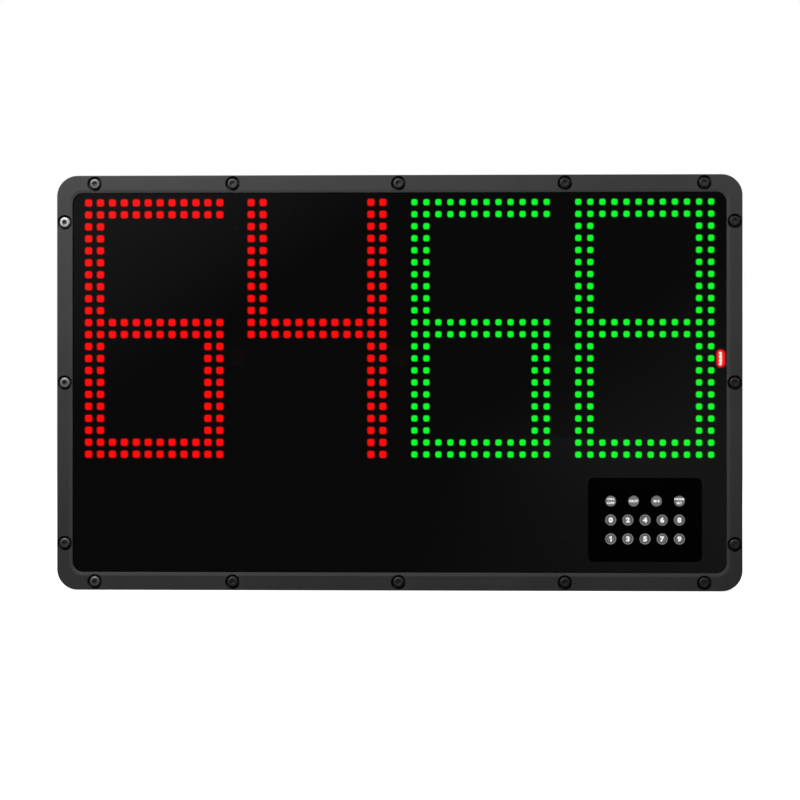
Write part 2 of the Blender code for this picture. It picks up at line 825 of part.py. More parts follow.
def make_control_board(material):
    """Main circuit board behind the plate, with its parts on the rear face and a header on the front."""
    board = Solid()
    rears = []
    for offset_x, offset_z, width, height, rise in (processor, upper_driver, lower_driver, lead_socket, coil):
        outline = rectangle(width, height, (control_x + offset_x, control_z + offset_z))
        rears.append(board.bump(outline, control_back, control_back + rise))
    header_x = control_x + control_width / 2 - ribbon_end
    header = rectangle(connector_width, ribbon_width + connector_margin, (header_x, control_z + ribbon_rise))
    ribbon_back = plate_back + ribbon_lift() + ribbon_thickness
    front = board.bump(header, control_front, ribbon_back + seat_gap)
    outline = rectangle(control_width, control_height, (control_x, control_z))
    board.prism(outline, control_front, control_back, [front], rears)
    board.make("control_board", material)


def make_ribbon(material):
    """Flat cable past the four digit boards, round through the plate's slot and to the control board."""
    front_run = plate_front - seat_gap - ribbon_thickness / 2
    back_run = plate_back + ribbon_lift() + ribbon_thickness / 2
    slot_x = digit_xs[-1] + digit_board_width / 2 - slot_inset
    start_x = digit_xs[0] - connector_width / 2
    end_x = control_x + control_width / 2 - ribbon_end - connector_width / 2
    turn = (back_run - front_run) / 2
    path = [(start_x, front_run)]
    bulge = slot_width / 2 - ribbon_thickness - seat_gap
    for step in range(ribbon_turn_steps + 1):
        angle = (step / ribbon_turn_steps - 1 / 2) * pi
        path.append((slot_x + bulge * cos(angle), (front_run + back_run) / 2 + turn * sin(angle)))
    path.append((end_x, back_run))
    outer = []
    inner = []
    for i, (x, depth) in enumerate(path):
        before = Vector(path[max(i - 1, 0)])
        after = Vector(path[min(i + 1, len(path) - 1)])
        along = (after - before).normalized()
        side = Vector((-along.y, along.x)) * ribbon_thickness / 2
        outer.append((x - side.x, depth - side.y))
        inner.append((x + side.x, depth + side.y))
    section = outer + inner[::-1]
    ribbon = Solid()
    middle = control_z + ribbon_rise
    ends = [ribbon.loop([(x, to_y(depth), middle + side * ribbon_width / 2) for x, depth in section])
            for side in (-1, 1)]
    ribbon.wall(*ends)
    ribbon.face(ends[0])
    ribbon.face(ends[1])
    ribbon.make("display_ribbon", material)


def unique(points):
    """The points without any that lies on the one before it, all the way round."""
    kept = []
    for i, point in enumerate(points):
        if (Vector(point) - Vector(points[i - 1])).length > same_point:
            kept.append(point)
    return kept


def make_battery(material):
    """Pack of round cells side by side in a shrunk sleeve."""
    pack = Solid()
    radius = cell_diameter / 2
    section = []
    for side in (1, -1):
        for cell in range(cell_count):
            middle_x = side * (cell - (cell_count - 1) / 2) * cell_diameter
            first = pi / 4 if cell else 0.0
            last = 3 * pi / 4 if cell < cell_count - 1 else pi
            for step in range(cell_steps):
                angle = first + (last - first) * step / (cell_steps - 1)
                section.append((middle_x - side * radius * cos(angle), side * radius * sin(angle)))
    section = unique(section)
    middle_depth = battery_front + radius
    ends = [pack.loop([(x, to_y(middle_depth + out), battery_height + side * cell_length / 2)
                       for x, out in section]) for side in (-1, 1)]
    pack.wall(*ends)
    pack.face(ends[0])
    pack.face(ends[1])
    pack.make("battery_pack", material)


def make_strap(material):
    """Bent steel strap over the battery, with a foot on the plate at each end."""
    half = cell_count * cell_diameter / 2 + seat_gap
    foot_front = plate_back + seat_gap
    outer_half = half + strap_thickness
    right = [
        (outer_half + strap_foot, foot_front),
        (outer_half + strap_foot, foot_front + strap_thickness),
        (outer_half, foot_front + strap_thickness),
        (outer_half, strap_back),
    ]
    under = [(half, strap_front), (half, foot_front)]
    section = right + [(-x, depth) for x, depth in right[::-1]]
    section += [(-x, depth) for x, depth in under[::-1]] + under
    strap = Solid()
    ends = [strap.loop([(x, to_y(depth), battery_height + side * strap_width / 2) for x, depth in section])
            for side in (-1, 1)]
    strap.wall(*ends)
    strap.face(ends[0])
    strap.face(ends[1])
    strap.make("battery_strap", material)


def make_level_board(material):
    """Strip of four small LEDs beside the last digit that shows the charge."""
    board = Solid()
    level_x, level_z = level_centre()
    leds = []
    for i in range(level_leds):
        z = level_z + (i - (level_leds - 1) / 2) * level_led_pitch
        leds.append(board.bump(rectangle(level_led_size, level_led_size, (level_x, z)), circuit_front,
                               circuit_front - level_led_height))
    board.prism(rectangle(level_width, level_length, (level_x, level_z)), circuit_front, circuit_back, leds)
    board.make("level_board", material)


def make_socket(material):
    """Charge socket on the control board, its barrel through the rear wall and a pin in its bore."""
    socket = Solid()
    centre = (socket_x, socket_z)
    block_back = floor_depth - seat_gap
    barrel = circle(socket_barrel_radius, centre, socket_sides)
    barrel_foot, barrel_end = socket.hole(barrel, block_back, flange_seat)
    block = rectangle(socket_block, socket_block, centre)
    socket.prism(block, control_back + seat_gap, block_back, (), [barrel_foot])
    rim = circle(socket_flange_radius, centre, socket_sides)
    under, top = socket.hole(rim, flange_seat, flange_top)
    socket.face(under, barrel_end)
    bore_floor = flange_top - socket_bore_depth
    bore = circle(socket_bore_radius, centre, socket_sides)
    mouth, bottom = socket.hole(bore, flange_top, bore_floor)
    socket.face(top, mouth)
    pin_end = flange_top - socket_pin_recess
    pin = socket.bump(circle(socket_pin_radius, centre, shank_sides), bore_floor, pin_end)
    socket.face(bottom, pin)
    socket.make("charge_socket", material)


def barrel_section():
    """Round hinge barrel of the flap in (depth, z), from the outer face of the flap to its inner face."""
    half_opening = asin(flap_thickness / 2 / barrel_radius)
    points = []
    for step in range(barrel_steps + 1):
        angle = half_opening - pi / 2 + step / barrel_steps * 2 * (pi - half_opening)
        points.append((pivot_depth + barrel_radius * cos(angle), pivot_z + barrel_radius * sin(angle)))
    return points


def make_flap(material):
    """Flap over the charge socket, turning on two stub pivots in the housing's ears."""
    flap = Solid()
    lower_z = socket_z - flap_reach
    section = [(pivot_depth + flap_thickness / 2, lower_z)]
    section += barrel_section()
    section.append((pivot_depth - flap_thickness / 2, lower_z))
    half = flap_width / 2
    ends = [flap.loop([(socket_x + side * half, to_y(depth), z) for depth, z in section]) for side in (-1, 1)]
    flap.wall(*ends)
    outline = circle(pivot_radius, (pivot_depth, pivot_z), shank_sides)
    for side, ring in zip((-1, 1), ends):
        root = flap.loop([(socket_x + side * half, to_y(depth), z) for depth, z in outline])
        tip = flap.loop([(socket_x + side * (half + pivot_length), to_y(depth), z) for depth, z in outline])
        flap.wall(root, tip)
        flap.face(tip)
        flap.face(ring, root)
    flap.make("socket_flap", material, (socket_x, to_y(pivot_depth), pivot_z))


def make_battery_lead(material):
    """Sleeved pair of wires from the battery to the lower edge of the control board."""
    depth = battery_front + cell_diameter / 2
    start_x = cell_count * cell_diameter / 2 + strap_thickness + 3 * seat_gap
    start = Vector((start_x, battery_height - lead_drop))
    end = Vector((control_x - control_width / 4, control_z - control_height / 2 - seat_gap))
    handles = (start, start + Vector((lead_sweep, 0.0)), end - Vector((0.0, lead_sweep)), end)
    lead = Solid()
    rings = []
    for step in range(lead_steps + 1):
        t = step / lead_steps
        weights = ((1 - t) ** 3, 3 * t * (1 - t) ** 2, 3 * t * t * (1 - t), t ** 3)
        point = sum((weight * handle for weight, handle in zip(weights, handles)), Vector((0.0, 0.0)))
        slopes = (-(1 - t) ** 2, (1 - t) * (1 - 3 * t), t * (2 - 3 * t), t * t)
        along = sum((slope * handle for slope, handle in zip(slopes, handles)), Vector((0.0, 0.0)))
        along.normalize()
        across = Vector((-along.y, along.x))
        ring = []
        for out, back in circle(lead_radius, (0.0, 0.0), lead_sides):
            spot = point + across * out
            ring.append((spot.x, to_y(depth + back), spot.y))
        rings.append(lead.loop(ring))
    lead.wall(*rings)
    lead.face(rings[0])
    lead.face(rings[-1])
    lead.make("battery_lead", material)


def build():
    """Empty the scene and make every piece."""
    for old in list(bpy.data.objects):
        bpy.data.objects.remove(old)
    frame_plastic = finish("matte dark grey plastic", (0.026, 0.026, 0.027), 0.55)
    smoked_acrylic = finish("smoked acrylic", (0.008, 0.008, 0.009), 0.12)
    black_plastic = finish("black keypad plastic", (0.004, 0.004, 0.004), 0.45)
    key_plastic = finish("grey key plastic", (0.14, 0.14, 0.14), 0.40)
    silicone = finish("silicone rubber", (0.10, 0.10, 0.11), 0.70)
    foam = finish("black foam rubber", (0.015, 0.015, 0.015), 0.90)
    circuit = finish("black circuit board", (0.010, 0.014, 0.012), 0.50)
    sheet_metal = finish("black anodised aluminium sheet", (0.020, 0.020, 0.021), 0.45, 1.0)
    steel = finish("stainless steel", (0.42, 0.42, 0.41), 0.35, 1.0)
    sleeve = finish("blue shrink sleeve", (0.03, 0.09, 0.30), 0.35)
    grey_cable = finish("grey cable jacket", (0.22, 0.22, 0.23), 0.60)
    rubber = finish("black rubber", (0.018, 0.018, 0.018), 0.75)
    make_bezel(frame_plastic)
    make_window(smoked_acrylic)
    make_gasket(foam)
    for number, x in enumerate(digit_xs, 1):
        make_digit_board(number, x, circuit)
    make_fascia(black_plastic)
    make_keys(key_plastic)
    make_keypad_mat(silicone)
    make_keypad_board(circuit)
    make_plate(sheet_metal)
    make_housing(frame_plastic)
    make_bezel_screws(steel)
    make_plate_screws(steel)
    make_handle_screws(steel)
    make_handle("handle_left", -handle_spread / 2, rubber)
    make_handle("handle_right", handle_spread / 2, rubber)
    make_control_board(circuit)
    make_ribbon(grey_cable)
    make_battery(sleeve)
    make_strap(sheet_metal)
    make_battery_lead(grey_cable)
    make_level_board(circuit)
    make_socket(black_plastic)
    make_flap(rubber)


build()
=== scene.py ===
"""Substitution board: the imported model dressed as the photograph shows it.

The board stands on its lower edge and its display faces -Y. Sizes are in metres. A depth counts back
from the front of the bezel.
"""

from math import cos, pi, radians, sin

import bmesh
import bpy
from mathutils import Matrix, Vector


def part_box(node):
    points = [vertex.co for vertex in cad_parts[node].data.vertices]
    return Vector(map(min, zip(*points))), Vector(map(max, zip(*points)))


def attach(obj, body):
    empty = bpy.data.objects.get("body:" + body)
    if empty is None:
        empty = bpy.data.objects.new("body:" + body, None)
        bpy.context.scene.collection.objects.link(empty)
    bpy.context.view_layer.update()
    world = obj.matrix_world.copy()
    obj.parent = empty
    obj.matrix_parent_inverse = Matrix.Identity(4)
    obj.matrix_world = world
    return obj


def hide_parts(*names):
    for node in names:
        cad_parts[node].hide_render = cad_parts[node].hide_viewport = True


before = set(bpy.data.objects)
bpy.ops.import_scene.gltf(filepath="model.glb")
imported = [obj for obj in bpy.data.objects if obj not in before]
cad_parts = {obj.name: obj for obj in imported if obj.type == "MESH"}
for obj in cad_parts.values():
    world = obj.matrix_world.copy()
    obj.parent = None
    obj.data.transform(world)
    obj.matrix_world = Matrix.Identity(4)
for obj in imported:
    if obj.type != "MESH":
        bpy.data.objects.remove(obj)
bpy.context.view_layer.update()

# Studio: a plain pale floor, white surroundings and soft lamps, with the key lamp at the upper left as
# in the photograph. The camera looks squarely at the board from a little to the right of its middle.
studio = bpy.context.scene
bezel_low, bezel_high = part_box("front_bezel")
front_y = bezel_low.y
board_middle = (0.0, (bezel_low.z + bezel_high.z) / 2)
camera_distance = 2.5
camera_turn = radians(1.9)
picture_pixels = 800
pixels_per_metre = 1039.4
ambient = 0.09
front_gloss = 0.072
side_gloss = 0.19
side_glows = ((0.11, 0.20, 0.16), (-0.01, -0.11, 0.13))
floor_radius = 7.0
floor_gap = 0.0003
lamps = (("key lamp", (-0.50, -0.68, 1.00), (0.0, 0.0, 0.2), 0.50, 22.0),
    ("side lamp", (0.62, -0.36, 0.64), (0.1, 0.0, 0.3), 0.35, 2.1),
    ("rear lamp", (1.2, 1.7, 1.5), (0.0, 0.0, 0.2), 1.2, 60.0),
    ("rear fill", (-1.6, 1.4, 0.9), (0.0, 0.0, 0.2), 1.2, 25.0))


def fill(made, values):
    """Set or link the inputs of a node."""
    for name, value in values.items():
        if isinstance(value, bpy.types.NodeSocket):
            made.id_data.links.new(value, made.inputs[name])
        else:
            made.inputs[name].default_value = value


def node(kind, inputs, output=0, tree=None, **settings):
    """An output of a new node, in the given tree or the one that its linked inputs come from."""
    linked = [value for value in inputs.values() if isinstance(value, bpy.types.NodeSocket)]
    made = (tree or linked[0].id_data).nodes.new(kind)
    for name, value in settings.items():
        setattr(made, name, value)
    fill(made, inputs)
    return made.outputs if output is None else made.outputs[output]


def maths(operation, first, second=0.0, third=0.0):
    """The result of a Math node."""
    return node("ShaderNodeMath", {0: first, 1: second, 2: third}, operation=operation)


def times(first, second):
    """The product of two numbers."""
    return maths("MULTIPLY", first, second)


def ramp(value, start, end, low=0.0, high=1.0):
    """From low to high while a value goes from start to end."""
    return node("ShaderNodeMapRange", {0: value, 1: start, 2: end, 3: low, 4: high})


def between(share, first, second):
    """A number between two numbers."""
    return node("ShaderNodeMix", {0: share, 2: first, 3: second})


def length_of(vector):
    """How long a vector is."""
    return node("ShaderNodeVectorMath", {0: vector}, "Value", operation="LENGTH")


def parts_of(vector):
    """The X, Y and Z of a vector."""
    return node("ShaderNodeSeparateXYZ", {0: vector}, None)


def object_place(tree):
    """Where a point is on the object."""
    return node("ShaderNodeTexCoord", {}, "Object", tree)


def add_object(name, data):
    """An object at the origin."""
    made = bpy.data.objects.new(name, data)
    studio.collection.objects.link(made)
    return made


def set_up(thing, place, direction):
    """Stand the camera or a lamp at a place, aimed along a direction."""
    thing.location = place
    thing.rotation_mode = "QUATERNION"
    thing.rotation_quaternion = direction.to_track_quat("-Z", "Y")


def start_material(name):
    """A new material and its node tree."""
    made = bpy.data.materials.new(name)
    made.use_nodes = True
    return made, made.node_tree


camera_data = bpy.data.cameras.new("photo view")
camera_data.sensor_width = 36.0
camera_data.lens = camera_data.sensor_width * camera_distance * pixels_per_metre / picture_pixels
camera_data.shift_x = 0.0021
camera_data.shift_y = -0.0216
camera = add_object("photo view", camera_data)
sight = Vector((-sin(camera_turn), cos(camera_turn), 0.0))
set_up(camera, Vector((0.0, front_y, board_middle[1])) - sight * camera_distance, sight)
studio.camera = camera
studio.view_settings.view_transform = "Standard"
for name, place, aim, size, watts in lamps:
    lamp_data = bpy.data.lights.new(name, "AREA")
    lamp_data.size = size
    lamp_data.energy = watts
    lamp = add_object(name, lamp_data)
    lamp.visible_camera = False
    set_up(lamp, place, Vector(aim) - Vector(place))

room = bpy.data.worlds.new("studio")
room.use_nodes = True
studio.world = room
tree = room.node_tree
rays = node("ShaderNodeLightPath", {}, None, tree)
facing = parts_of(node("ShaderNodeTexCoord", {}, "Generated", tree))
reflected = ramp(facing["Y"], -0.93, 0.0, front_gloss, 1.0)
slanted = maths("MULTIPLY_ADD", facing["Z"], 1.2, times(facing["X"], -0.8))
for start, end, gain in side_glows:
    reflected = maths("ADD", reflected, ramp(slanted, start, end, 0.0, gain))
shiny = maths("MAXIMUM", rays["Is Glossy Ray"], rays["Is Transmission Ray"])
seen = between(rays["Is Camera Ray"], between(shiny, ambient, reflected), 1.0)
fill(tree.nodes["Background"], {"Color": (1.0, 1.0, 1.0, 1.0), "Strength": seen})

floor_mesh = bpy.data.meshes.new("studio_floor")
floor_shape = bmesh.new()
bmesh.ops.create_circle(floor_shape, cap_ends=True, segments=96, radius=floor_radius)
floor_shape.to_mesh(floor_mesh)
floor_shape.free()
floor = add_object("studio_floor", floor_mesh)
floor.location.z = bezel_low.z - floor_gap
pale, tree = start_material("pale studio floor")
rays = node("ShaderNodeLightPath", {}, None, tree)
spot = object_place(tree)
direct = maths("MAXIMUM", rays["Is Camera Ray"], rays["Is Transmission Ray"])
shine = times(ramp(length_of(spot), 0.45, 1.5, 0.86, 1.0), direct)
paint = node("ShaderNodeBsdfDiffuse", {"Color": (0.30, 0.30, 0.30, 1.0)}, tree=tree)
light = node("ShaderNodeEmission", {"Strength": shine})
both = node("ShaderNodeAddShader", {0: paint, 1: light})
gloss = ramp(parts_of(spot)["X"], 0.0, 0.40, front_gloss, side_gloss)
dim = node("ShaderNodeEmission", {"Strength": gloss})
seen = node("ShaderNodeMixShader", {0: rays["Is Glossy Ray"], 1: both, 2: dim})
fill(tree.nodes["Material Output"], {"Surface": seen})
floor_mesh.materials.append(pale)

# Rear housing: the moulded tub of dark grey plastic that carries everything. It has cored rails with a
# boss for each bezel screw, a tongue that presses the gasket, ribs, posts and the ears of the flap.
opening_size = (0.630, 0.366)
outer_radius = 0.020
opening_radius = 0.010
rear_radius = 0.006
joint_softness = 0.0005
seat_gap = 0.0003
case_wall = 0.003
passage_radius = 0.0033
passage_depth = 0.0132
boss_half = 0.008
pocket_corner = 0.001
pocket_gap = 0.0005
post_radius = 0.0045
post_bore = 0.0018
post_bore_depth = 0.009
handle_boss_radius = 0.006
handle_boss_height = 0.010
handle_bore = 0.0028
rib_places = (-0.1185, -0.0395, 0.0395, 0.1185)
rib_thickness = 0.0025
rib_height = 0.004
rib_inset = 0.015
socket_bore = 0.0058
flap_half = 0.009
ear_thickness = 0.003
ear_gap = 0.0003
barrel_radius = 0.0026
pivot_gap = 0.001
pivot_rise = 0.013
pivot_radius = 0.0013
pivot_reach = 0.0118
crease = radians(32)
level_angle = radians(15)
flat_enough = 0.99999


def centre_of(name):
    """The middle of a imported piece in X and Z."""
    low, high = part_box(name)
    return (low.x + high.x) / 2, (low.z + high.z) / 2


def size_of(name):
    """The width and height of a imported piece."""
    low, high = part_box(name)
    return high.x - low.x, high.z - low.z


def depth_span(name):
    """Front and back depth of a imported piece."""
    low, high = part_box(name)
    return low.y - front_y, high.y - front_y


def arc(centre, radius, start, end, steps):
    """Points on an arc from one angle to another."""
    turns = [start + (end - start) * step / steps for step in range(steps + 1)]
    return [(centre[0] + radius * cos(turn), centre[1] + radius * sin(turn)) for turn in turns]


def circle(radius, centre=(0.0, 0.0), sides=32, inset=0.0):
    """Round outline, drawn in by an inset."""
    return arc(centre, radius - inset, pi / sides, 2 * pi - pi / sides, sides - 1)


def rectangle(width, height, centre):
    """The four corners of a rectangle."""
    signs = ((1, 1), (-1, 1), (-1, -1), (1, -1))
    return [(centre[0] + side_x * width / 2, centre[1] + side_z * height / 2) for side_x, side_z in signs]


def rounded(size, radius, centre=board_middle, steps=12, inset=0.0):
    """Rectangle with round corners, drawn in by an inset."""
    points = []
    for corner, middle in enumerate(rectangle(size[0] - 2 * radius, size[1] - 2 * radius, centre)):
        points += arc(middle, radius - inset, corner * pi / 2, (corner + 1) * pi / 2, steps)
    return points


def front_edge(radius, depth, steps):
    """Profile of a rounded edge behind a front face."""
    return arc((radius, depth + radius), radius, -pi / 2, -pi, steps)


def back_edge(radius, depth, steps):
    """Profile of a rounded edge before a back face."""
    return arc((radius, depth - radius), radius, pi, pi / 2, steps)


class Form:
    """A closed shape of rings of points, walls between them and flat faces inside them."""

    def __init__(self):
        self.shape = bmesh.new()
        self.finish = 0

    def loop(self, points):
        """A ring through points in space."""
        return [self.shape.verts.new(point) for point in points]

    def ring(self, outline, depth):
        """An outline at a depth behind the front face."""
        return self.loop([(x, front_y + depth, z) for x, z in outline])

    def wall(self, *rings):
        """Walls from each ring to the next."""
        for near, far in zip(rings, rings[1:]):
            for i, corner in enumerate(near):
                after = (i + 1) % len(near)
                made = self.shape.faces.new((corner, near[after], far[after], far[i]))
                made.material_index = self.finish
        return rings[-1]

    def face(self, *rings):
        """The flat face between a ring and the rings inside it."""
        edges = []
        for ring in rings:
            for start, end in zip(ring, ring[1:] + ring[:1]):
                edges.append(self.shape.edges.get((start, end)) or self.shape.edges.new((start, end)))
        filled = bmesh.ops.triangle_fill(self.shape, use_beauty=True, edges=edges)
        for made in filled["geom"]:
            if isinstance(made, bmesh.types.BMFace):
                made.material_index = self.finish

    def stack(self, profile, outline, *sizes):
        """Walls of an outline that is drawn in along a profile of inset and depth."""
        rings = [self.ring(outline(*sizes, inset=inset), depth) for inset, depth in profile]
        self.wall(*rings)
        return rings[0], rings[-1]

    def tube(self, outline, start, end):
        """A straight wall between two depths."""
        near, far = self.ring(outline, start), self.ring(outline, end)
        self.wall(near, far)
        return near, far

    def bump(self, outline, base, top):
        """A block or pocket from one depth to another."""
        foot, crown = self.tube(outline, base, top)
        self.face(crown)
        return foot

    def make(self, name, *finishes, cutter=None):
        """The finished piece, after any cutter."""
        bmesh.ops.recalc_face_normals(self.shape, faces=self.shape.faces)
        mesh = bpy.data.meshes.new(name)
        self.shape.to_mesh(mesh)
        self.shape.free()
        for finish in finishes:
            mesh.materials.append(finish)
        piece = add_object(name, mesh)
        if cutter:
            drilling = piece.modifiers.new("drill", "BOOLEAN")
            drilling.operation = "DIFFERENCE"
            drilling.solver = "EXACT"
            drilling.object = cutter
            bake(piece)
            bpy.data.objects.remove(cutter)
        smooth(piece)
        level_flats(piece.data)
        return piece


def shown_mesh(piece):
    """A plain mesh of what an object shows."""
    bpy.context.view_layer.update()
    graph = bpy.context.evaluated_depsgraph_get()
    return bpy.data.meshes.new_from_object(
        piece.evaluated_get(graph), preserve_all_data_layers=True, depsgraph=graph)


def bake(piece):
    """Turn what the modifiers make into the piece's own mesh."""
    shown = shown_mesh(piece)
    piece.modifiers.clear()
    old = piece.data
    piece.data = shown
    shown.name = piece.name
    if old.users == 0:
        bpy.data.meshes.remove(old)


def smooth(piece):
    """Shade fillets smooth and keep creases sharp."""
    piece.data.shade_smooth()
    piece.data.set_sharp_from_angle(angle=crease)
    weighted = piece.modifiers.new("flat faces", "WEIGHTED_NORMAL")
    weighted.keep_sharp = True
    bake(piece)


def level_flats(mesh):
    """Shade front and back faces flat, with the fillets running into them."""
    flats = {(vertex, face.normal.y > 0)
        for face in mesh.polygons if abs(face.normal.y) > flat_enough for vertex in face.vertices}
    normals = [corner.vector.copy() for corner in mesh.corner_normals]
    for corner, normal in zip(mesh.loops, normals):
        if (corner.vertex_index, normal.y > 0) in flats and abs(normal.y) > cos(level_angle):
            normal.xyz = 0.0, 1.0 if normal.y > 0 else -1.0, 0.0
    mesh.normals_split_custom_set(normals)


def spaced(values):
    """Values with spaces for the underscores in their names."""
    return {name.replace("_", " "): value for name, value in values.items()}


def start_group(name, family, **inputs):
    """A node group and what goes in: a named default for each value, or the kind of a thing with none."""
    tree = bpy.data.node_groups.new(name, family + "NodeTree")
    for label, value in spaced(inputs).items():
        kind = {float: "Float", int: "Int", tuple: "Color"}.get(type(value), value)
        made = tree.interface.new_socket(label, in_out="INPUT", socket_type="NodeSocket" + kind)
        if kind != value:
            made.default_value = value
    return tree, node("NodeGroupInput", {}, None, tree)


def end_group(tree, **results):
    """Lead the named results out of a group."""
    kinds = {"Colour": "Color", "Normal": "Vector", "Pieces": "Geometry"}
    for label in results:
        kind = "NodeSocket" + kinds.get(label, "Float")
        tree.interface.new_socket(label, in_out="OUTPUT", socket_type=kind)
    fill(tree.nodes.new("NodeGroupOutput"), results)


def place_group(tree, group, **values):
    """The outputs of a group placed with its own values."""
    return node("ShaderNodeGroup", spaced(values), None, tree, node_tree=group)


def noise(spot, scale, detail, distortion=0.0):
    """Cloudy noise."""
    return node(
        "ShaderNodeTexNoise", {"Vector": spot, "Scale": scale, "Detail": detail, "Distortion": distortion})


def scaled(vector, factor):
    """A colour or vector times a number."""
    return node("ShaderNodeVectorMath", {0: vector, "Scale": factor}, operation="SCALE")


def blend(share, first, second):
    """A colour between two colours."""
    return node("ShaderNodeMix", {0: share, 6: first, 7: second}, 2, data_type="RGBA")


def relief(height, distance):
    """The surface direction of a raised pattern."""
    return node("ShaderNodeBump", {"Height": height, "Distance": distance})


# Moulded grain: cloudy shade and gloss with a fine eroded texture, as on moulded plastic and rubber
moulded_grain, given = start_group("moulded grain", "Shader",
    Colour=(0.05, 0.05, 0.05, 1.0), Cloud=0.15, Roughness=0.5, Grain_Size=0.0006, Grain_Height=0.00002)
tree = moulded_grain
spot = object_place(tree)
swing = maths("MULTIPLY_ADD", noise(spot, 14.0, 5.0), 2.0, -1.0)
shade = maths("MULTIPLY_ADD", swing, given["Cloud"], 1.0)
grain = noise(spot, maths("DIVIDE", 1.0, given["Grain Size"]), 2.0)
end_group(tree,
    Colour=scaled(given["Colour"], shade), Roughness=maths("MULTIPLY_ADD", swing, 0.12, given["Roughness"]),
    Normal=relief(grain, given["Grain Height"]))

# Worn and highlit edges: where an outside edge is sharp, it is lightened in patches, partly as wear from
# handling and partly as a painted highlight along the edge
worn_and_highlit_edges, given = start_group("worn and highlit edges", "Shader",
    Colour=(0.05, 0.05, 0.05, 1.0), Edge_Colour=(0.2, 0.2, 0.2, 1.0), Radius=0.0006, Amount=0.5)
tree = worn_and_highlit_edges
softened = node("ShaderNodeBevel", {"Radius": given["Radius"]}, samples=4)
actual = node("ShaderNodeNewGeometry", {}, "Normal", tree)
alike = node("ShaderNodeVectorMath", {0: softened, 1: actual}, "Value", operation="DOT_PRODUCT")
patch = ramp(noise(object_place(tree), 90.0, 4.0), 0.35, 0.65)
wear_and_highlight = times(times(ramp(alike, 0.98, 0.80), patch), given["Amount"])
end_group(tree, Colour=blend(wear_and_highlight, given["Colour"], given["Edge Colour"]))


def set_shader(finish, **values):
    """Set or link the inputs of a material's Principled shader."""
    fill(finish.node_tree.nodes["Principled BSDF"], spaced(values))
    if "Emission_Strength" in values:
        finish.cycles.emission_sampling = "NONE"
    return finish


def grained(finish, colour, roughness, cloud, grain, height, edge=0.0, edge_colour=None, **values):
    """Give a material the moulded grain, and edges lightened by wear and a painted highlight if asked."""
    tree = finish.node_tree
    surface = place_group(tree,
        moulded_grain, Colour=colour, Cloud=cloud, Roughness=roughness, Grain_Size=grain, Grain_Height=height)
    tint = surface["Colour"]
    if edge:
        tint = place_group(
            tree, worn_and_highlit_edges, Colour=tint, Edge_Colour=(*edge_colour, 1.0), Amount=edge)["Colour"]
    return set_shader(
        finish, Base_Color=tint, Roughness=surface["Roughness"], Normal=surface["Normal"], **values)


def moulded(name, colour, roughness, cloud=0.10, grain=0.0006, height=0.00002, specular=0.5, **rubbing):
    """Moulded plastic or rubber."""
    return grained(start_material(name)[0],
        (*colour, 1.0), roughness, cloud, grain, height, Specular_IOR_Level=specular, **rubbing)


# The case plastic's sharp edges are lightened, partly as wear and partly as a painted highlight.
case_plastic = moulded("moulded case plastic",
    (0.0192, 0.0192, 0.0197), 0.54, cloud=0.17, specular=0.25, edge=0.4, edge_colour=(0.09, 0.09, 0.095))

board_size = size_of("front_bezel")
window_size = size_of("display_window")
window_radius = opening_radius + (window_size[0] - opening_size[0]) / 2
screw_nodes = [f"bezel_screw_{number:02d}" for number in range(1, 17)]
screw_centres = [centre_of(name) for name in screw_nodes]
bezel_depth = depth_span("front_bezel")[1]
joint_depth = bezel_depth + seat_gap
case_depth = depth_span("handle_left")[0] - seat_gap
floor_depth = case_depth - case_wall
tongue_front = depth_span("window_gasket")[1] + seat_gap
tub = Form()
profile = front_edge(joint_softness, joint_depth, 3) + back_edge(rear_radius, case_depth, 10)
joint, back = tub.stack(profile, rounded, board_size, outer_radius)
root, tongue_edge = tub.tube(rounded(window_size, window_radius), joint_depth, tongue_front)
cavity = rounded(opening_size, opening_radius)
cavity_floor = tub.wall(tongue_edge, tub.ring(cavity, tongue_front), tub.ring(cavity, floor_depth))
joint_rings = [tub.bump(circle(passage_radius, place, 16), joint_depth, joint_depth + passage_depth)
    for place in screw_centres]
pocket_inner = (window_size[0] - opening_size[0]) / 2 + pocket_gap
for start, end in zip(screw_centres, screw_centres[1:] + screw_centres[:1]):
    for run, across in ((0, 1), (1, 0)):
        if abs(start[across] - end[across]) < seat_gap:
            size, place = [0.0, 0.0], [0.0, 0.0]
            size[run] = abs(start[run] - end[run]) - 2 * boss_half
            size[across] = (board_size[across] - opening_size[across]) / 2 - pocket_inner - case_wall
            out = board_size[across] / 2 - case_wall - size[across] / 2
            place[run] = (start[run] + end[run]) / 2
            place[across] = board_middle[across] + (out if start[across] > board_middle[across] else -out)
            pocket = rounded(size, pocket_corner, place, 3)
            joint_rings.append(tub.bump(pocket, joint_depth, case_depth - rear_radius))
tub.face(joint, root, *joint_rings)

plate_back = depth_span("battery_pack")[0]
floor_rings = []
back_rings = []
for number in range(1, 5):
    place = centre_of(f"plate_screw_{number}")
    base, top = tub.tube(circle(post_radius, place, 24), floor_depth, plate_back)
    tub.face(top, tub.bump(circle(post_bore, place, 16), plate_back, plate_back - seat_gap + post_bore_depth))
    floor_rings.append(base)
    place = centre_of(f"handle_screw_{number}")
    boss_front = floor_depth - handle_boss_height
    base, top = tub.tube(circle(handle_boss_radius, place, 24), floor_depth, boss_front)
    near, far = tub.tube(circle(handle_bore, place, 16), boss_front, case_depth)
    tub.face(top, near)
    floor_rings.append(base)
    back_rings.append(far)
for rib_x in rib_places:
    rib = rectangle(rib_thickness, opening_size[1] - 2 * rib_inset, (rib_x, board_middle[1]))
    floor_rings.append(tub.bump(rib, floor_depth, floor_depth - rib_height))
socket_x, socket_z = centre_of("charge_socket")
near, far = tub.tube(circle(socket_bore, (socket_x, socket_z)), floor_depth, case_depth)
floor_rings.append(near)
back_rings.append(far)
pivot_depth = depth_span("charge_socket")[1] + seat_gap + pivot_gap
pivot_z = socket_z + pivot_rise
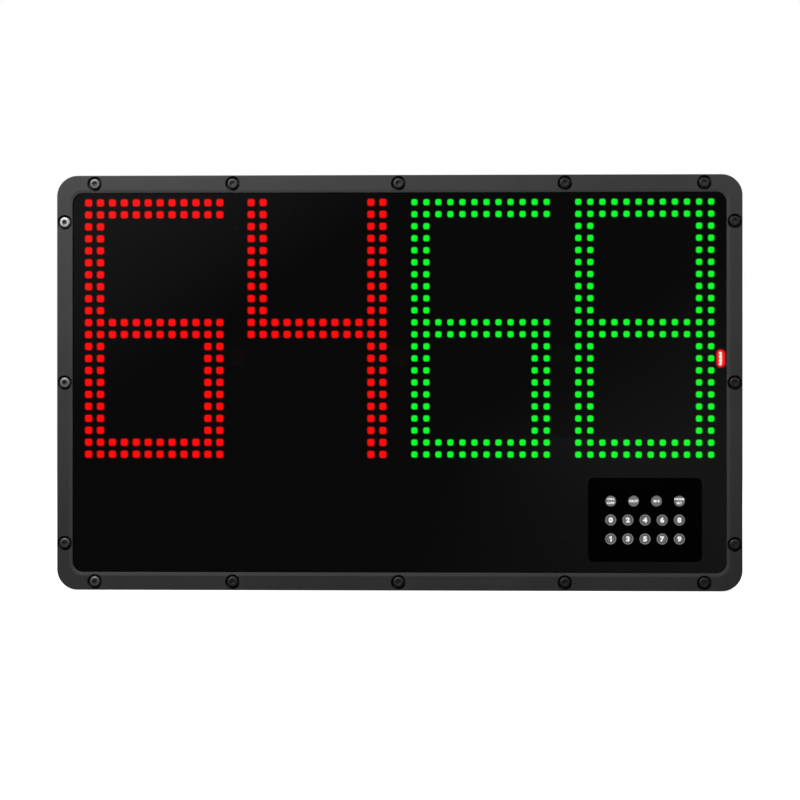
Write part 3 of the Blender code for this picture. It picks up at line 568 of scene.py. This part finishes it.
for side in (-1, 1):
    ear_x = socket_x + side * (flap_half + ear_gap + ear_thickness / 2)
    ear = rectangle(ear_thickness, 2 * barrel_radius, (ear_x, pivot_z))
    back_rings.append(tub.bump(ear, case_depth, pivot_depth + barrel_radius))
tub.face(cavity_floor, *floor_rings)
tub.face(back, *back_rings)
drill = Form()
pivot_hole = circle(pivot_radius, (pivot_depth, pivot_z), 24)
ends = [drill.loop([(socket_x + side * pivot_reach, front_y + depth, z) for depth, z in pivot_hole])
    for side in (-1, 1)]
drill.wall(*ends)
drill.face(ends[0])
drill.face(ends[1])
housing = tub.make("case_back", case_plastic, cutter=drill.make("pivot_drill", case_plastic))
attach(housing, "case")
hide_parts("rear_housing")

# Front bezel: a moulded ring of the same plastic that clamps the window. Its inner edge is a broad
# slope that catches the light, and that slope is also painted lighter than the face as a painted
# highlight. Each of its sixteen screws sits in a dark counterbore.
front_softness = 0.0008
lip_width = 0.0028
lip_depth = 0.0008
lip_slope = ((lip_width + 0.0004, 0.0),
    (lip_width + 0.0001, 0.00005), (lip_width - 0.0002, 0.00015), (0.0005, lip_depth - 0.00015),
    (0.00025, lip_depth), (0.0001, lip_depth + 0.0002), (0.0, lip_depth + 0.0005))
counterbore_radius = 0.0072
counterbore_depth = 0.0036
mouth_bevel = 0.0001
rebate_bevel = 0.0002
drill_overrun = 0.001
window_front, window_back = depth_span("display_window")
rebate_front = window_front - seat_gap
rim = Form()
profile = front_edge(front_softness, 0.0, 5) + back_edge(joint_softness, bezel_depth, 3)
front, back = rim.stack(profile, rounded, board_size, outer_radius)
# The slope of the lip takes the second finish, painted lighter than the face as a painted highlight.
rim.finish = 1
flare, lip_edge = rim.stack(
    [(-grown, depth) for grown, depth in lip_slope], rounded, opening_size, opening_radius)
rim.finish = 0
lip_near, lip_back = rim.stack(((0.0, rebate_front - rebate_bevel), (-rebate_bevel, rebate_front)),
    rounded, opening_size, opening_radius)
rim.wall(lip_edge, lip_near)
rebate, rebate_back = rim.tube(
    rounded(window_size, window_radius, inset=-seat_gap), rebate_front, bezel_depth)
rim.face(rebate, lip_back)
rim.face(front, flare)
rim.face(back, rebate_back)
drill = Form()
for place in screw_centres:
    mouth, shoulder = drill.stack(
        ((-mouth_bevel, -drill_overrun), (0.0, mouth_bevel), (0.0, counterbore_depth)),
        circle, counterbore_radius, place, 48)
    neck, leave = drill.tube(
        circle(passage_radius, place, 24), counterbore_depth, bezel_depth + drill_overrun)
    drill.face(mouth)
    drill.face(shoulder, neck)
    drill.face(leave)
screw_drill = drill.make("screw_drill", case_plastic)
# Lighter than the case plastic: a painted highlight on the lip's slope.
lip_painted_lighter = moulded("bezel lip painted lighter as if lit", (0.031, 0.031, 0.0315), 0.60, specular=0.12)
bezel = rim.make("bezel", case_plastic, lip_painted_lighter, cutter=screw_drill)
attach(bezel, "case")
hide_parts("front_bezel")

# Bezel and handle screws: stainless button-head screws with a hexagon socket. One node tree makes a
# screw from its sizes and sets a copy on each place, turned by a seeded random angle. Each bezel
# screw's steel is painted brighter or darker by where it sits, a painted light that is brightest at
# the upper left where the key lamp falls and darkest at the lower right.
round_sides = 40
dome_rows = 6
dome_drop = 0.60
# Painted light for each bezel screw: a brightness share, high at the upper left where the light falls, low at
# the lower right.
screw_painted_light = (
    0.14, 0.04, 0.03, 0.01, 0.015, 0.01, 0.02, 0.03, 0.02, 0.02, 0.03, 0.03, 0.15, 0.10, 0.23, 0.47)
handle_screw_brightness = 0.6
forward = (0.0, -1.0, 0.0)
backward = (0.0, 1.0, 0.0)


def triple(x=0.0, y=0.0, z=0.0):
    """A vector from its three parts."""
    return node("ShaderNodeCombineXYZ", {0: x, 1: y, 2: z})


def finished(shape, finish):
    """A shape with its finish."""
    return node("GeometryNodeSetMaterial", {"Geometry": shape, "Material": finish})


def lifted(shape, rise):
    """A shape moved along Z."""
    return node("GeometryNodeTransform", {"Geometry": shape, "Translation": triple(z=rise)})


def rod(sides, radius, length):
    """A straight rod along Z."""
    return node("GeometryNodeMeshCylinder", {"Vertices": sides, "Radius": radius, "Depth": length})


def joined(*shapes):
    """Several shapes as one."""
    tree = shapes[0].id_data
    whole = tree.nodes.new("GeometryNodeJoinGeometry")
    for shape in shapes:
        tree.links.new(shape, whole.inputs[0])
    return whole.outputs[0]


def outward_turn(tree):
    """The turn that faces a copy outward."""
    outward = node("GeometryNodeInputNamedAttribute", {"Name": "outward"}, 0, tree, data_type="FLOAT_VECTOR")
    return node("FunctionNodeAlignRotationToVector", {"Vector": outward}, axis="Z")


screw_tree, sizes = start_group("button head screw", "Geometry", Places="Geometry",
    Head_Radius=0.00525, Top_Radius=0.0036, Head_Height=0.0030, Socket_Radius=0.0026, Socket_Depth=0.0021,
    Shank_Radius=0.0030, Shank_Length=0.0210, Seed=3, Steel="Material", Socket_Finish="Material")
tree = screw_tree
index = node("GeometryNodeInputIndex", {}, 0, tree)
row = maths("FLOOR", maths("DIVIDE", index, round_sides))
turn = times(maths("MODULO", index, round_sides), 2 * pi / round_sides)
rise = times(maths("MINIMUM", row, dome_rows - 2), pi / 2 / (dome_rows - 2))
swell = maths("SUBTRACT", sizes["Head Radius"], sizes["Top Radius"])
radius = maths("MULTIPLY_ADD", swell, maths("SINE", rise), sizes["Top Radius"])
drop = maths("SUBTRACT", 1.0, maths("COSINE", rise))
domed = times(times(drop, dome_drop), sizes["Head Height"])
depth = between(maths("GREATER_THAN", row, dome_rows - 1.5), domed, sizes["Head Height"])
spot = triple(times(radius, maths("COSINE", turn)), times(radius, maths("SINE", turn)), times(depth, -1.0))
points = node("GeometryNodePoints", {"Count": round_sides * dome_rows, "Position": spot})
head = finished(node("GeometryNodeConvexHull", {0: points}), sizes["Steel"])
hexagon = finished(rod(6, sizes["Socket Radius"], times(sizes["Socket Depth"], 2.0)), sizes["Socket Finish"])
socketed = node(
    "GeometryNodeMeshBoolean", {"Mesh 1": head, "Mesh 2": hexagon}, operation="DIFFERENCE", solver="EXACT")
below = maths("ADD", sizes["Head Height"], maths("DIVIDE", sizes["Shank Length"], 2.0))
shank = lifted(rod(20, sizes["Shank Radius"], sizes["Shank Length"]), times(below, -1.0))
spin = node("FunctionNodeRandomValue", {2: 0.0, 3: pi / 3, "Seed": sizes["Seed"]}, 1)
spun = node("FunctionNodeRotateRotation",
    {"Rotation": outward_turn(tree), "Rotate By": triple(z=spin)}, rotation_space="LOCAL")
screw = joined(socketed, finished(shank, sizes["Steel"]))
copies = node(
    "GeometryNodeInstanceOnPoints", {"Points": sizes["Places"], "Instance": screw, "Rotation": spun})
end_group(tree, Pieces=node("GeometryNodeRealizeInstances", {0: copies}))


def grow(name, tree, places, depth, outward, share, amounts, **values):
    """The piece that a tree makes at places that face outward, each with its amount of a share."""
    mesh = bpy.data.meshes.new(name)
    mesh.from_pydata([(x, front_y + depth, z) for x, z in places], [], [])
    facing = mesh.attributes.new("outward", "FLOAT_VECTOR", "POINT")
    facing.data.foreach_set("vector", outward * len(amounts))
    mesh.attributes.new(share, "FLOAT", "POINT").data.foreach_set("value", amounts)
    piece = add_object(name, mesh)
    step = piece.modifiers.new("shape", "NODES")
    step.node_group = tree
    for item in tree.interface.items_tree:
        label = item.name.replace(" ", "_").lower()
        if item.in_out == "INPUT" and label in values:
            step[item.identifier] = values[label]
    bake(piece)
    smooth(piece)
    return piece


def steel_toned_per_point(name, dull, bright):
    """Steel toned from dull to bright by a share stored on its points; on the bezel screws that share is
    painted light.
    """
    made, tree = start_material(name)
    painted_light = node("ShaderNodeAttribute", {}, "Fac", tree, attribute_name="painted_light")
    tone = blend(painted_light, (dull, dull, dull, 1.0), (bright, bright, 0.98 * bright, 1.0))
    return grained(made, tone, 0.56, 0.25, 0.0004, 0.000004, Metallic=1.0)


steel = steel_toned_per_point("stainless steel", 0.018, 0.66)
# The inside of each hex socket is a dark non-metal finish: a painted shade in the recess.
socket_painted_shade = moulded("screw socket painted dark as shade", (0.030, 0.030, 0.030), 0.4)

bezel_screws = grow("bezel_screws", screw_tree, screw_centres, depth_span("bezel_screw_01")[0],
    forward, "painted_light", screw_painted_light, seed=3, steel=steel, socket_finish=socket_painted_shade)
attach(bezel_screws, "case")
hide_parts(*screw_nodes)

handle_screw_nodes = [f"handle_screw_{number}" for number in range(1, 5)]
handle_screws = grow("handle_screws", screw_tree, map(centre_of, handle_screw_nodes),
    depth_span("handle_screw_1")[1], backward, "painted_light", [handle_screw_brightness] * 4,
    seed=8, steel=steel, socket_finish=socket_painted_shade, head_radius=0.0046, top_radius=0.0030,
    head_height=0.0026, socket_radius=0.0017, socket_depth=0.0015, shank_radius=0.0025, shank_length=0.0170)
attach(handle_screws, "case")
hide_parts(*handle_screw_nodes)


# Gasket: a ring of black cellular foam, die cut from sheet. The housing's tongue presses it against
# the back of the window, which keeps rain out.
def shades(share, *stops):
    """Colours along a share, from stops of a position and a colour."""
    made = share.id_data.nodes.new("ShaderNodeValToRGB")
    fill(made, {"Fac": share})
    elements = made.color_ramp.elements
    for element, (position, *colour) in zip(elements, (stops[0], stops[-1])):
        element.position, element.color = position, (*colour, 1.0)
    for position, *colour in stops[1:-1]:
        elements.new(position).color = (*colour, 1.0)
    return made.outputs["Color"]


def refinish(name, finish):
    """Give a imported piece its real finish."""
    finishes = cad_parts[name].data.materials
    finishes.clear()
    finishes.append(finish)


foam, tree = start_material("cellular foam")
cells = node("ShaderNodeTexVoronoi", {"Vector": object_place(tree), "Scale": 1400.0})
set_shader(foam, Base_Color=shades(cells, (0.0, 0.006, 0.006, 0.006), (1.0, 0.024, 0.024, 0.025)),
    Normal=relief(cells, 0.0002), Roughness=0.9, Specular_IOR_Level=0.2)
refinish("window_gasket", foam)

# Digits: one black circuit board for each digit, with a square LED at every point of a figure eight.
# The lit LEDs read 64 in red and 68 in green, as in the photograph.
led_pitch = 0.0116
led_rows = 22
led_columns = 12
led_rise = 0.0030
lens_sizes = {"red": 0.0073, "green": 0.0063}
circuit_thickness = 0.0016
circuit_corner = 0.002
circuit_hole = 0.0016
circuit_hole_inset = 0.008
header_size = 0.024
header_rise = 0.026
header_height = 0.0034
strokes = {"4": "fbgc", "6": "afgedc", "8": "abcdefg"}
led_tree, sizes = start_group(
    "led field", "Geometry", Places="Geometry", Lens_Size=0.00725, Lens_Corner=0.0020, Lens_Rise=0.0018,
    Package_Size=0.0074, Package_Rise=0.0012, Lit_Lens="Material", Dark_Lens="Material", Package="Material")
tree = led_tree
square = node(
    "GeometryNodeCurvePrimitiveQuadrilateral", {"Width": sizes["Lens Size"], "Height": sizes["Lens Size"]})
softened = node(
    "GeometryNodeFilletCurve", {"Curve": square, "Count": 3, "Radius": sizes["Lens Corner"]}, mode="POLY")
plate = node("GeometryNodeFillCurve", {0: softened}, mode="NGONS")
sides = node("GeometryNodeExtrudeMesh",
    {"Mesh": plate, "Offset Scale": times(sizes["Lens Rise"], 0.6)}, None, mode="FACES")
crown = node("GeometryNodeExtrudeMesh",
    {"Mesh": sides[0], "Selection": sides["Top"], "Offset Scale": times(sizes["Lens Rise"], 0.4)},
    None, mode="FACES")
narrowed = node("GeometryNodeScaleElements",
    {"Geometry": crown[0], "Selection": crown["Top"], "Scale": 0.70}, domain="FACE")
under = node("GeometryNodeFlipFaces", {"Mesh": plate})
height = parts_of(node("GeometryNodeInputPosition", {}, 0, tree))["Z"]
brightness = ramp(maths("DIVIDE", height, sizes["Lens Rise"]), 0.6, 1.0, 0.35, 1.0)
lens = node("GeometryNodeStoreNamedAttribute",
    {"Geometry": joined(narrowed, under), "Name": "glow", "Value": brightness},
    data_type="FLOAT", domain="POINT")
lens = lifted(lens, sizes["Package Rise"])
block_size = triple(sizes["Package Size"], sizes["Package Size"], sizes["Package Rise"])
block = node("GeometryNodeMeshCube", {"Size": block_size})
block = finished(lifted(block, times(sizes["Package Rise"], 0.5)), sizes["Package"])
is_lit = node("GeometryNodeInputNamedAttribute", {"Name": "lit"}, 0, tree, data_type="FLOAT")
turn = outward_turn(tree)
fields = []
for finish, test in (("Lit Lens", "GREATER_THAN"), ("Dark Lens", "LESS_THAN")):
    led = joined(finished(lens, sizes[finish]), block)
    fields.append(node("GeometryNodeInstanceOnPoints", {"Points": sizes["Places"],
        "Selection": maths(test, is_lit, 0.5), "Instance": led, "Rotation": turn}))
end_group(tree, Pieces=node("GeometryNodeRealizeInstances", {0: joined(*fields)}))


def lit_lens(name, colour, strength):
    """A glowing lens, brightest on its crown."""
    made, tree = start_material(name)
    glow = node("ShaderNodeAttribute", {}, "Fac", tree, attribute_name="glow")
    return set_shader(made, Base_Color=(*[0.5 * part for part in colour], 1.0),
        Roughness=0.35, Emission_Color=scaled(colour, glow), Emission_Strength=strength)


lights_of = {"red": lit_lens("red lens lit", (1.0, 0.001, 0.002), 20.0),
    "green": lit_lens("green lens lit", (0.003, 1.0, 0.024), 20.0)}
dark_lens = moulded("dark lens", (0.012, 0.012, 0.012), 0.5, specular=0.2)
led_package = moulded("black led package", (0.006, 0.006, 0.006), 0.6, specular=0.2)

# Solder mask with buried tracks, for every circuit board
mask_tracks, given = start_group("mask over tracks", "Shader",
    Mask_Colour=(0.008, 0.010, 0.009, 1.0), Track_Colour=(0.016, 0.022, 0.019, 1.0), Pitch=0.0016)
tree = mask_tracks
upright = node("ShaderNodeMapping", {"Vector": object_place(tree), "Rotation": (pi / 2, 0.0, 0.0)})
steps = node("ShaderNodeTexVoronoi",
    {"Vector": upright, "Scale": maths("DIVIDE", 0.1, given["Pitch"])}, distance="MANHATTAN")
track = ramp(maths("PINGPONG", times(steps, 6.0), 1.0), 0.55, 0.65)
end_group(tree, Colour=blend(track, given["Mask Colour"], given["Track Colour"]), Height=track)


def circuit_finish(name, mask, track, specular=0.3):
    """Solder mask over copper tracks."""
    made, tree = start_material(name)
    tracks = place_group(tree, mask_tracks, Mask_Colour=(*mask, 1.0), Track_Colour=(*track, 1.0))
    return set_shader(made, Base_Color=tracks["Colour"],
        Normal=relief(tracks["Height"], 0.00003), Roughness=0.42, Specular_IOR_Level=specular)


black_mask = circuit_finish("black solder mask", (0.004, 0.005, 0.005), (0.008, 0.010, 0.009), 0.2)
connector_black = moulded("connector plastic", (0.012, 0.012, 0.013), 0.45)

middle_row = led_rows // 2 - 1
whole_width = range(led_columns)
left_side = (0, 1)
right_side = (led_columns - 2, led_columns - 1)
upper_half = range(middle_row + 2)
lower_half = range(middle_row, led_rows)
stroke_cells = {name: {(column, row) for column in columns for row in rows} for name,
    columns, rows in (("a", whole_width, (0, 1)), ("g", whole_width, (middle_row, middle_row + 1)),
    ("d", whole_width, (led_rows - 2, led_rows - 1)), ("f", left_side, upper_half),
    ("b", right_side, upper_half), ("e", left_side, lower_half), ("c", right_side, lower_half))}
figure_eight = sorted(set().union(*stroke_cells.values()))
circuit_front = depth_span("digit_board_1")[0] + led_rise
circuit_back = circuit_front + circuit_thickness
for number, (figure, colour) in enumerate((("6", "red"), ("4", "red"), ("6", "green"), ("8", "green")), 1):
    centre_x, centre_z = centre_of(f"digit_board_{number}")
    width, height = size_of(f"digit_board_{number}")
    shown = set().union(*(stroke_cells[name] for name in strokes[figure]))
    places = [(centre_x + (column - (led_columns - 1) / 2) * led_pitch,
        centre_z + ((led_rows - 1) / 2 - row) * led_pitch) for column, row in figure_eight]
    lit = [float(cell in shown) for cell in figure_eight]
    lights = grow(f"digit_{number}_lights", led_tree, places, circuit_front, forward, "lit", lit,
        dark_lens=dark_lens, lit_lens=lights_of[colour], package=led_package, lens_size=lens_sizes[colour])
    board = Form()
    corners = rectangle(width - 2 * circuit_hole_inset, height - 2 * circuit_hole_inset, (centre_x, centre_z))
    holes = [board.tube(circle(circuit_hole, corner, 16), circuit_front, circuit_back) for corner in corners]
    outline = rounded((width, height), circuit_corner, (centre_x, centre_z), 4)
    near, far = board.tube(outline, circuit_front, circuit_back)
    board.face(near, *(hole[0] for hole in holes))
    board.finish = 1
    header = board.bump(rectangle(header_size, header_size, (centre_x, board_middle[1] + header_rise)),
        circuit_back, circuit_back + header_height)
    board.finish = 0
    board.face(far, header, *(hole[1] for hole in holes))
    circuit = board.make(f"digit_{number}_circuit", black_mask, connector_black)
    for piece in (lights, circuit):
        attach(piece, "case")
        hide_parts(f"digit_board_{number}")

# Charge level strip: a narrow circuit board at the right of the digits with four tiny red LEDs, so
# bright that their middles look white and their light spreads over the strip.
level_pitch = 0.0036
level_shift = 0.0008
strip_corner = 0.0008
halo_height = 0.0042
halo_reach = 0.0054
level_centre = centre_of("level_board")
halo_x, halo_z = level_centre[0] - level_shift, level_centre[1]


def halo_fading(tree):
    """How strongly the light of the level LEDs reaches a point."""
    offset = node(
        "ShaderNodeVectorMath", {0: object_place(tree), 1: (halo_x, 0.0, halo_z)}, operation="SUBTRACT")
    parts = parts_of(offset)
    above = maths("SUBTRACT", maths("ABSOLUTE", parts["Z"]), halo_height)
    away = length_of(triple(parts["X"], maths("MAXIMUM", above, 0.0)))
    return ramp(away, 0.0, halo_reach, 1.0, 0.0)


strip_glow, tree = start_material("strip lit by its leds")
set_shader(strip_glow, Base_Color=place_group(tree, mask_tracks)["Colour"], Specular_IOR_Level=0.2,
    Emission_Color=scaled((1.0, 0.008, 0.010), halo_fading(tree)), Emission_Strength=14.0)
hot_light = lit_lens("level lens lit", (1.0, 0.68, 0.48), 30.0)
strip = Form()
outline = rounded(size_of("level_board"), strip_corner, level_centre, 4)
strip.face(strip.bump(outline, circuit_front, circuit_back))
level_strip = strip.make("level_strip", strip_glow)
places = [(halo_x, halo_z + (number - 1.5) * level_pitch) for number in range(4)]
level_lights = grow("level_lights", led_tree, places,
    circuit_front, forward, "lit", [1.0] * 4, lit_lens=hot_light, dark_lens=dark_lens, package=led_package,
    lens_size=0.0024, lens_corner=0.0007, lens_rise=0.0008, package_size=0.0025, package_rise=0.0004)
for piece in (level_strip, level_lights):
    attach(piece, "case")
    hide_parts("level_board")

# Window: one polished sheet of smoked acrylic, cut out for the keypad. Lit LEDs shine through it and
# everything else behind it disappears.
fascia_centre = centre_of("keypad_fascia")
fascia_width, fascia_height = size_of("keypad_fascia")
flange = 0.003
cutout_size = (fascia_width - 2 * flange, fascia_height - 2 * flange)
cutout_radius = 0.005
soft_edge = 0.0002
smoked, tree = start_material("smoked acrylic")
smear = noise(object_place(tree), 9.0, 5.0, 0.6)
scattered = shades(halo_fading(tree), (0.0, 0.0, 0.0, 0.0), (0.12, 0.05, 0.0, 0.001),
    (0.32, 0.55, 0.0, 0.008), (0.66, 1.0, 0.008, 0.020), (0.82, 1.0, 0.24, 0.16), (1.0, 1.0, 0.60, 0.38))
set_shader(smoked, Base_Color=(0.055, 0.055, 0.057, 1.0), Transmission_Weight=1.0,
    IOR=1.49, Roughness=ramp(smear, 0.40, 0.75, 0.015, 0.07), Emission_Color=scattered, Emission_Strength=1.0)
sheet = Form()
edge_profile = [(soft_edge, window_front),
    (0.0, window_front + soft_edge), (0.0, window_back - soft_edge), (soft_edge, window_back)]
cut_near, cut_far = sheet.stack(
    [(-inset, depth) for inset, depth in edge_profile], rounded, cutout_size, cutout_radius, fascia_centre)
near, far = sheet.stack(edge_profile, rounded, window_size, window_radius)
sheet.face(near, cut_near)
sheet.face(far, cut_far)
window = sheet.make("smoked_window", smoked)
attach(window, "case")
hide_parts("display_window")

# Keypad panel: a flat black moulding flush with the window, held from behind by its flange. Its
# fourteen round holes guide the keys.
panel_black = moulded("velvet black plastic", (0.0003, 0.0003, 0.0003), 0.6, specular=0.01)
key_names = ["on_off", "out", "in", "mode", *"0123456789"]
key_collar = 0.0012
key_radius = size_of("key_0")[0] / 2 - key_collar
key_sides = 64
hole_softness = 0.00015
flange_thickness = 0.0020
flange_front = window_back + seat_gap
flange_back = flange_front + flange_thickness
boss_back = depth_span("keypad_fascia")[1]
boss_inset = 0.0045
boss_radius = 0.003
panel = Form()
face_front, face_back = panel.stack(
    [(seat_gap + soft_edge, window_front), (seat_gap, window_front + soft_edge), (seat_gap, flange_front)],
    rounded, cutout_size, cutout_radius, fascia_centre)
flange_near, flange_far = panel.tube(
    rounded((fascia_width, fascia_height), cutout_radius + flange, fascia_centre), flange_front, flange_back)
panel.face(flange_near, face_back)
mouths = []
exits = []
for name in key_names:
    mouth, leave = panel.stack(
        [(-hole_softness, window_front), (0.0, window_front + hole_softness), (0.0, flange_back)],
        circle, key_radius + seat_gap, centre_of(f"key_{name}"), key_sides)
    mouths.append(mouth)
    exits.append(leave)
for place in rectangle(fascia_width - 2 * boss_inset, fascia_height - 2 * boss_inset, fascia_centre):
    exits.append(panel.bump(circle(boss_radius, place, 20), flange_back, boss_back))
panel.face(face_front, *mouths)
panel.face(flange_far, *exits)
fascia = panel.make("keypad_panel", panel_black)
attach(fascia, "case")
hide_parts("keypad_fascia")

# Keys: fourteen moulded buttons with a printed face. The number keys have a grey disc and ring round a
# white figure; the function keys have a plain grey disc with small white words.
key_body = moulded("key plastic", (0.045, 0.045, 0.046), 0.42)
ring_grey = moulded("pale grey key print", (0.23, 0.23, 0.23), 0.50, height=0.000004)
disc_grey = moulded("grey key print", (0.155, 0.155, 0.155), 0.50, height=0.000004)
print_white = moulded("white key print", (0.95, 0.95, 0.95), 0.50, cloud=0.03, height=0.000004)
collar_thickness = 0.0010
crown_softness = 0.0004
function_bands = ((0.0, 0.0051),)
figure_bands = ((0.0, 0.0034), (0.0043, 0.0052))
legends = {"on_off": ("ON\nOFF", 0.0076, 0.0026),
    "out": ("OUT", 0.0092, 0.0030), "in": ("IN", 0.0056, 0.0030), "mode": ("MODE\nSET", 0.0092, 0.0026)}
word_weight = 0.070
word_spacing = 1.42
figure_weight = 0.075
figure_height = 0.0063
figure_stretch = 1.14
figure_one = [
    (-0.07, -0.44), (0.15, -0.44), (0.15, 0.44), (-0.02, 0.44), (-0.24, 0.27), (-0.24, 0.07), (-0.07, 0.18)]
print_rise = 0.00005
same_point = 0.000001


def flat_words(words, width, line_height, weight, spacing=1.0):
    """Bold words as a thin upright mesh, fitted to a width if there is one."""
    letters = bpy.data.curves.new("words", "FONT")
    letters.body = words
    letters.align_x = "CENTER"
    letters.align_y = "CENTER"
    letters.space_line = spacing
    letters.bevel_depth = weight
    letters.bevel_resolution = 1
    letters.resolution_u = 6
    holder = add_object("words", letters)
    mesh = shown_mesh(holder)
    bpy.data.objects.remove(holder)
    xs = [vertex.co.x for vertex in mesh.vertices]
    ys = [vertex.co.y for vertex in mesh.vertices]
    middle = Vector(((min(xs) + max(xs)) / 2, (min(ys) + max(ys)) / 2, 0.0))
    across = width / (max(xs) - min(xs)) if width else figure_stretch * line_height
    fitted = Matrix.Diagonal((across, line_height, print_rise / weight, 1.0))
    mesh.transform(Matrix.Rotation(pi / 2, 4, "X") @ fitted @ Matrix.Translation(-middle))
    return mesh


def add_print(form, mesh, place, depth):
    """Print a thin mesh on a face, with its front half proud of it."""
    mesh.transform(Matrix.Translation((place[0], front_y + depth, place[1])))
    for face in mesh.polygons:
        face.material_index = form.finish
    body = set(form.shape.verts)
    form.shape.from_mesh(mesh)
    printed = [vertex for vertex in form.shape.verts if vertex not in body]
    bmesh.ops.remove_doubles(form.shape, verts=printed, dist=same_point)
    bmesh.ops.dissolve_degenerate(form.shape, dist=same_point, edges=form.shape.edges)
    bpy.data.meshes.remove(mesh)


for name in key_names:
    place = centre_of(f"key_{name}")
    key_front, collar_back = depth_span(f"key_{name}")
    key_front += print_rise
    collar_front = collar_back - collar_thickness
    button = Form()
    profile = front_edge(crown_softness, key_front, 4) + [(0.0, collar_front)]
    crown, neck = button.stack(profile, circle, key_radius, place, key_sides)
    collar_near, collar_far = button.tube(
        circle(key_radius + key_collar, place, 40), collar_front, collar_back)
    button.face(collar_near, neck)
    button.face(collar_far)
    button.face(crown)
    for inner, outer in function_bands if name in legends else figure_bands:
        button.finish = 1 if inner else 2
        edges = [button.tube(circle(radius, place, key_sides), key_front - print_rise / 2, key_front)
            for radius in (outer, inner) if radius]
        for rings in zip(*edges):
            button.face(*rings)
    button.finish = 3
    if name in legends:
        add_print(button, flat_words(*legends[name], word_weight, word_spacing), place, key_front)
    elif name == "1":
        stroke = [(place[0] + x * figure_height, place[1] + z * figure_height) for x, z in figure_one]
        button.face(button.bump(stroke, key_front + print_rise, key_front - print_rise))
    else:
        add_print(button, flat_words(name, 0.0, figure_height, figure_weight), place, key_front)
    cap = button.make(f"cap_{name}", key_body, ring_grey, disc_grey, print_white)
    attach(cap, f"key_{name}")
    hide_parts(f"key_{name}")

# Handles: two D-shaped grips, moulded in black rubber over a steel core, each on two feet that are
# screwed to the rear wall.
# The grip's sharp edges are lightened, partly as wear and partly as a painted highlight.
grip_rubber = moulded("grip rubber",
    (0.016, 0.016, 0.016), 0.72, grain=0.0011, height=0.00008, edge=0.3, edge_colour=(0.05, 0.05, 0.05))
grip_radius = 0.008
grip_sides = 28
handle_bend = 0.022
bend_steps = 12
handle_half = 0.055
foot_size = (0.022, 0.036)
foot_corner = 0.006
foot_softness = 0.0012
foot_thickness = 0.005
foot_margin = 0.003
foot_screw_offset = 0.017
foot_offset = handle_half - grip_radius - foot_margin + foot_size[1] / 2
for hand in ("left", "right"):
    node_name = f"handle_{hand}"
    centre_x, centre_z = centre_of(node_name)
    seat, handle_back = depth_span(node_name)
    bar_depth = handle_back - grip_radius
    foot_top = seat + foot_thickness
    path = [(foot_top, handle_half, 0.0)]
    for end in (1, -1):
        for step in range(bend_steps + 1):
            turned = step / bend_steps * pi / 2 + (0.0 if end > 0 else pi / 2)
            path.append((bar_depth - handle_bend + handle_bend * sin(turned),
                end * (handle_half - handle_bend) + handle_bend * cos(turned), turned))
    path.append((foot_top, -handle_half, pi))
    handle = Form()
    section = circle(grip_radius, sides=grip_sides)
    rings = [handle.loop([(centre_x + across, front_y + depth + out * sin(angle),
        centre_z + along + out * cos(angle)) for across, out in section]) for depth, along, angle in path]
    handle.wall(*rings)
    for end, leg in ((1, rings[0]), (-1, rings[-1])):
        base_ring, top_ring = handle.stack([(0.0, seat)] + back_edge(foot_softness, foot_top, 5),
            rounded, foot_size, foot_corner, (centre_x, centre_z + end * foot_offset), 8)
        screw_place = (centre_x, centre_z + end * (handle_half + foot_screw_offset))
        bore_far, bore_near = handle.tube(circle(handle_bore, screw_place, 20), seat, foot_top)
        handle.face(base_ring, bore_far)
        handle.face(top_ring, bore_near, leg)
    grip = handle.make(f"grip_{hand}", grip_rubber)
    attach(grip, "case")
    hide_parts(node_name)

# Pieces inside the case and the socket's flap: moulded rubber and plastic, circuit boards, cables and
# bent sheet metal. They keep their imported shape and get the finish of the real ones.
silicone = moulded("silicone rubber", (0.10, 0.10, 0.11), 0.62, grain=0.0004)
socket_black = moulded("socket plastic", (0.008, 0.008, 0.008), 0.35)
flap_rubber = moulded("flap rubber", (0.018, 0.018, 0.018), 0.68, grain=0.0007, height=0.00004)
cable_grey = moulded("grey cable jacket", (0.20, 0.20, 0.21), 0.55)
sleeve_blue = moulded(
    "blue shrink sleeve", (0.03, 0.085, 0.28), 0.30, cloud=0.06, grain=0.004, height=0.00015)
board_mask = circuit_finish("circuit board", (0.010, 0.014, 0.012), (0.020, 0.034, 0.026))
plated_steel = steel_toned_per_point("zinc plated steel", 0.45, 0.45)
anodised, tree = start_material("black anodised aluminium")
stretched = node("ShaderNodeMapping", {"Vector": object_place(tree), "Scale": (20.0, 900.0, 900.0)})
brush = noise(stretched, 1.0, 3.0)
set_shader(anodised, Base_Color=shades(brush, (0.0, 0.014, 0.014, 0.015), (1.0, 0.028, 0.028, 0.029)),
    Roughness=ramp(brush, 0.0, 1.0, 0.30, 0.48),
    Normal=relief(brush, 0.00002), Metallic=0.6, Specular_IOR_Level=0.3)
for finish, names in (
        (silicone, ["keypad_mat"]), (socket_black, ["charge_socket"]), (flap_rubber, ["socket_flap"]),
        (cable_grey, ["display_ribbon", "battery_lead"]), (sleeve_blue, ["battery_pack"]),
        (board_mask, ["keypad_board", "control_board"]), (anodised, ["mounting_plate", "battery_strap"]),
        (plated_steel, [f"plate_screw_{number}" for number in range(1, 5)])):
    for name in names:
        refinish(name, finish)
